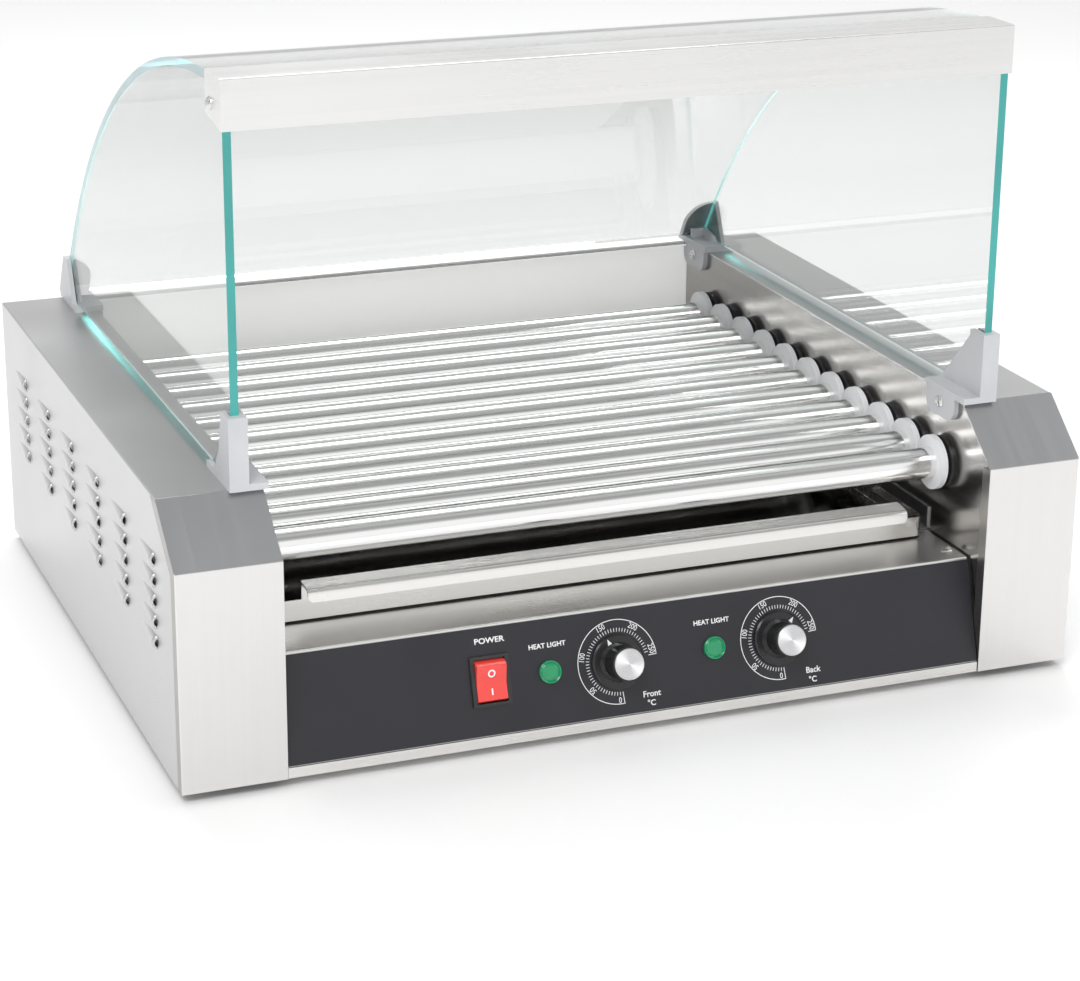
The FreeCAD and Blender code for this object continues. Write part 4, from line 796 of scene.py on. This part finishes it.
def make_pointer(dial, body, angle):
    """The arrowhead on a knob's skirt. angle is in degrees."""
    bm = bmesh.new()
    centre, angle = (DIAL_SPOTS[dial].x, CONTROL_HEIGHT), math.radians(angle)
    tip = polar(centre, POINTER_TIP, angle)
    feet = [polar(centre, POINTER_FOOT, angle + side) for side in (-POINTER_SPREAD, POINTER_SPREAD)]
    bm.faces.new([bm.verts.new((*corner, 0)) for corner in (tip, *feet)])
    print_on(f"{dial}_pointer", bm, f"{dial}_knob", body)


def make_labels():
    bm = bmesh.new()
    for words, x, y, size, stretch in LABELS:
        add_words(bm, words, x, y, size, stretch, weight=LABEL_WEIGHT)
    print_on("panel_labels", bm, "control_fascia")


def make_switch_marks():
    """The ring for off and the bar for on."""
    bm = bmesh.new()
    low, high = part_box("switch_rocker")
    x = (low.x + high.x) / 2
    add_arc(bm, (x, CONTROL_HEIGHT + RING_RISE), RING_RADIUS, MARK_LINE, 0, 2 * math.pi, 32)
    top = CONTROL_HEIGHT - BAR_DROP
    add_stroke(bm, (x, top - BAR_LENGTH), (x, top), MARK_LINE)
    bmesh.ops.remove_doubles(bm, verts=bm.verts, dist=SAME_SPOT)
    print_on("switch_marks", bm, "switch_rocker", "rocker")


# ----------------------------------------------------------------------------------------------
# Small parts
# ----------------------------------------------------------------------------------------------

LENS_RADIUS, LENS_RIM, LENS_PLUG = 0.0070, 0.0022, 0.0056
HEAD_HEIGHT, SHANK_RADIUS = 0.0024, 0.0019


def lens_outline(deep):
    """A low dome, a groove, a raised rim and the plug behind it."""
    return [
        (0, -0.0002), (0.0030, -0.0003), (0.0049, -0.0007), (0.0056, -0.0011), (0.0058, -0.0010),
        (0.0061, -0.0002), (0.0065, 0), (0.0069, -0.0003), (LENS_RADIUS, -0.0008),
        (LENS_RADIUS, -LENS_RIM), (LENS_PLUG, -LENS_RIM), (LENS_PLUG, -deep), (0, -deep),
    ]


def make_lamps():
    """Round lenses, in place of the plain ones."""
    whole = bmesh.new()
    turn = Matrix((X, PANEL_UP, PANEL_OUT)).transposed().to_4x4()
    for lump in islands("heat_lamps"):
        reach = [(point - PANEL_FOOT).dot(PANEL_OUT) for point in lump]
        middle = (min(point.x for point in lump) + max(point.x for point in lump)) / 2
        crown = PANEL_FOOT + X * middle + PANEL_UP * CONTROL_HEIGHT + PANEL_OUT * max(reach)
        lens = lathe(lens_outline(max(reach) - min(reach)), 40)
        bmesh.ops.transform(lens, matrix=Matrix.Translation(crown) @ turn, verts=lens.verts)
        mesh = bpy.data.meshes.new("lens")
        lens.to_mesh(mesh)
        lens.free()
        whole.from_mesh(mesh)
    bmesh.ops.recalc_face_normals(whole, faces=whole.faces)
    piece = add_piece("lamp_lenses", whole, lamp_green, smooth=35)
    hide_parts("heat_lamps")


def cross_head(radius, length):
    """One screw that hangs down from its crown at the origin, with a cross cut in its head."""
    bm = lathe([
        (0, 0), (radius * 0.45, -0.00012), (radius * 0.78, -HEAD_HEIGHT * 0.3),
        (radius, -HEAD_HEIGHT * 0.8), (radius, -HEAD_HEIGHT), (SHANK_RADIUS, -HEAD_HEIGHT),
        (SHANK_RADIUS, -length), (0, -length),
    ], 28)
    cutter = bmesh.new()
    for turn in (0, math.pi / 2):
        arm = bmesh.ops.create_cube(cutter, size=1)["verts"]
        bmesh.ops.scale(cutter, vec=(radius * 1.15, radius * 0.24, HEAD_HEIGHT * 1.1), verts=arm)
        for vertex in arm:
            if vertex.co.z < 0:
                vertex.co.x *= 0.45
        bmesh.ops.rotate(cutter, verts=arm, cent=(0, 0, 0), matrix=Matrix.Rotation(turn, 3, "Z"))
    return carved(bm, cutter)


def make_screws():
    """Button heads with a cross recess, in place of the plain ones. Each stops at its own turn."""
    whole = bmesh.new()
    for lump in islands("fasteners"):
        low = Vector([min(point[i] for point in lump) for i in range(3)])
        high = Vector([max(point[i] for point in lump) for i in range(3)])
        size, middle = high - low, (low + high) / 2
        along = max(range(3), key=lambda i: size[i])
        axis = Vector([float(i == along) for i in range(3)])
        widest = max(lump, key=lambda point: (point - middle).cross(axis).length)
        if widest[along] < middle[along]:
            axis.negate()
        crown = middle + axis * size[along] / 2
        place = Matrix.Translation(crown) @ Z.rotation_difference(axis).to_matrix().to_4x4()
        head = cross_head(min(size) / 2, size[along])
        head.transform(place @ Matrix.Rotation(0.4 + 0.9 * len(whole.verts), 4, "Z"))
        whole.from_mesh(head)
    bmesh.ops.recalc_face_normals(whole, faces=whole.faces)
    piece = add_piece("cross_head_screws", whole, screw_steel, smooth=35)
    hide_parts("fasteners")


for dial, body, angle in (("front", "front_dial", 112.7), ("back", "back_dial", 50.0)):
    make_dial_scale(dial)
    make_pointer(dial, body, angle)
make_labels()
make_switch_marks()
make_lamps()
make_screws()
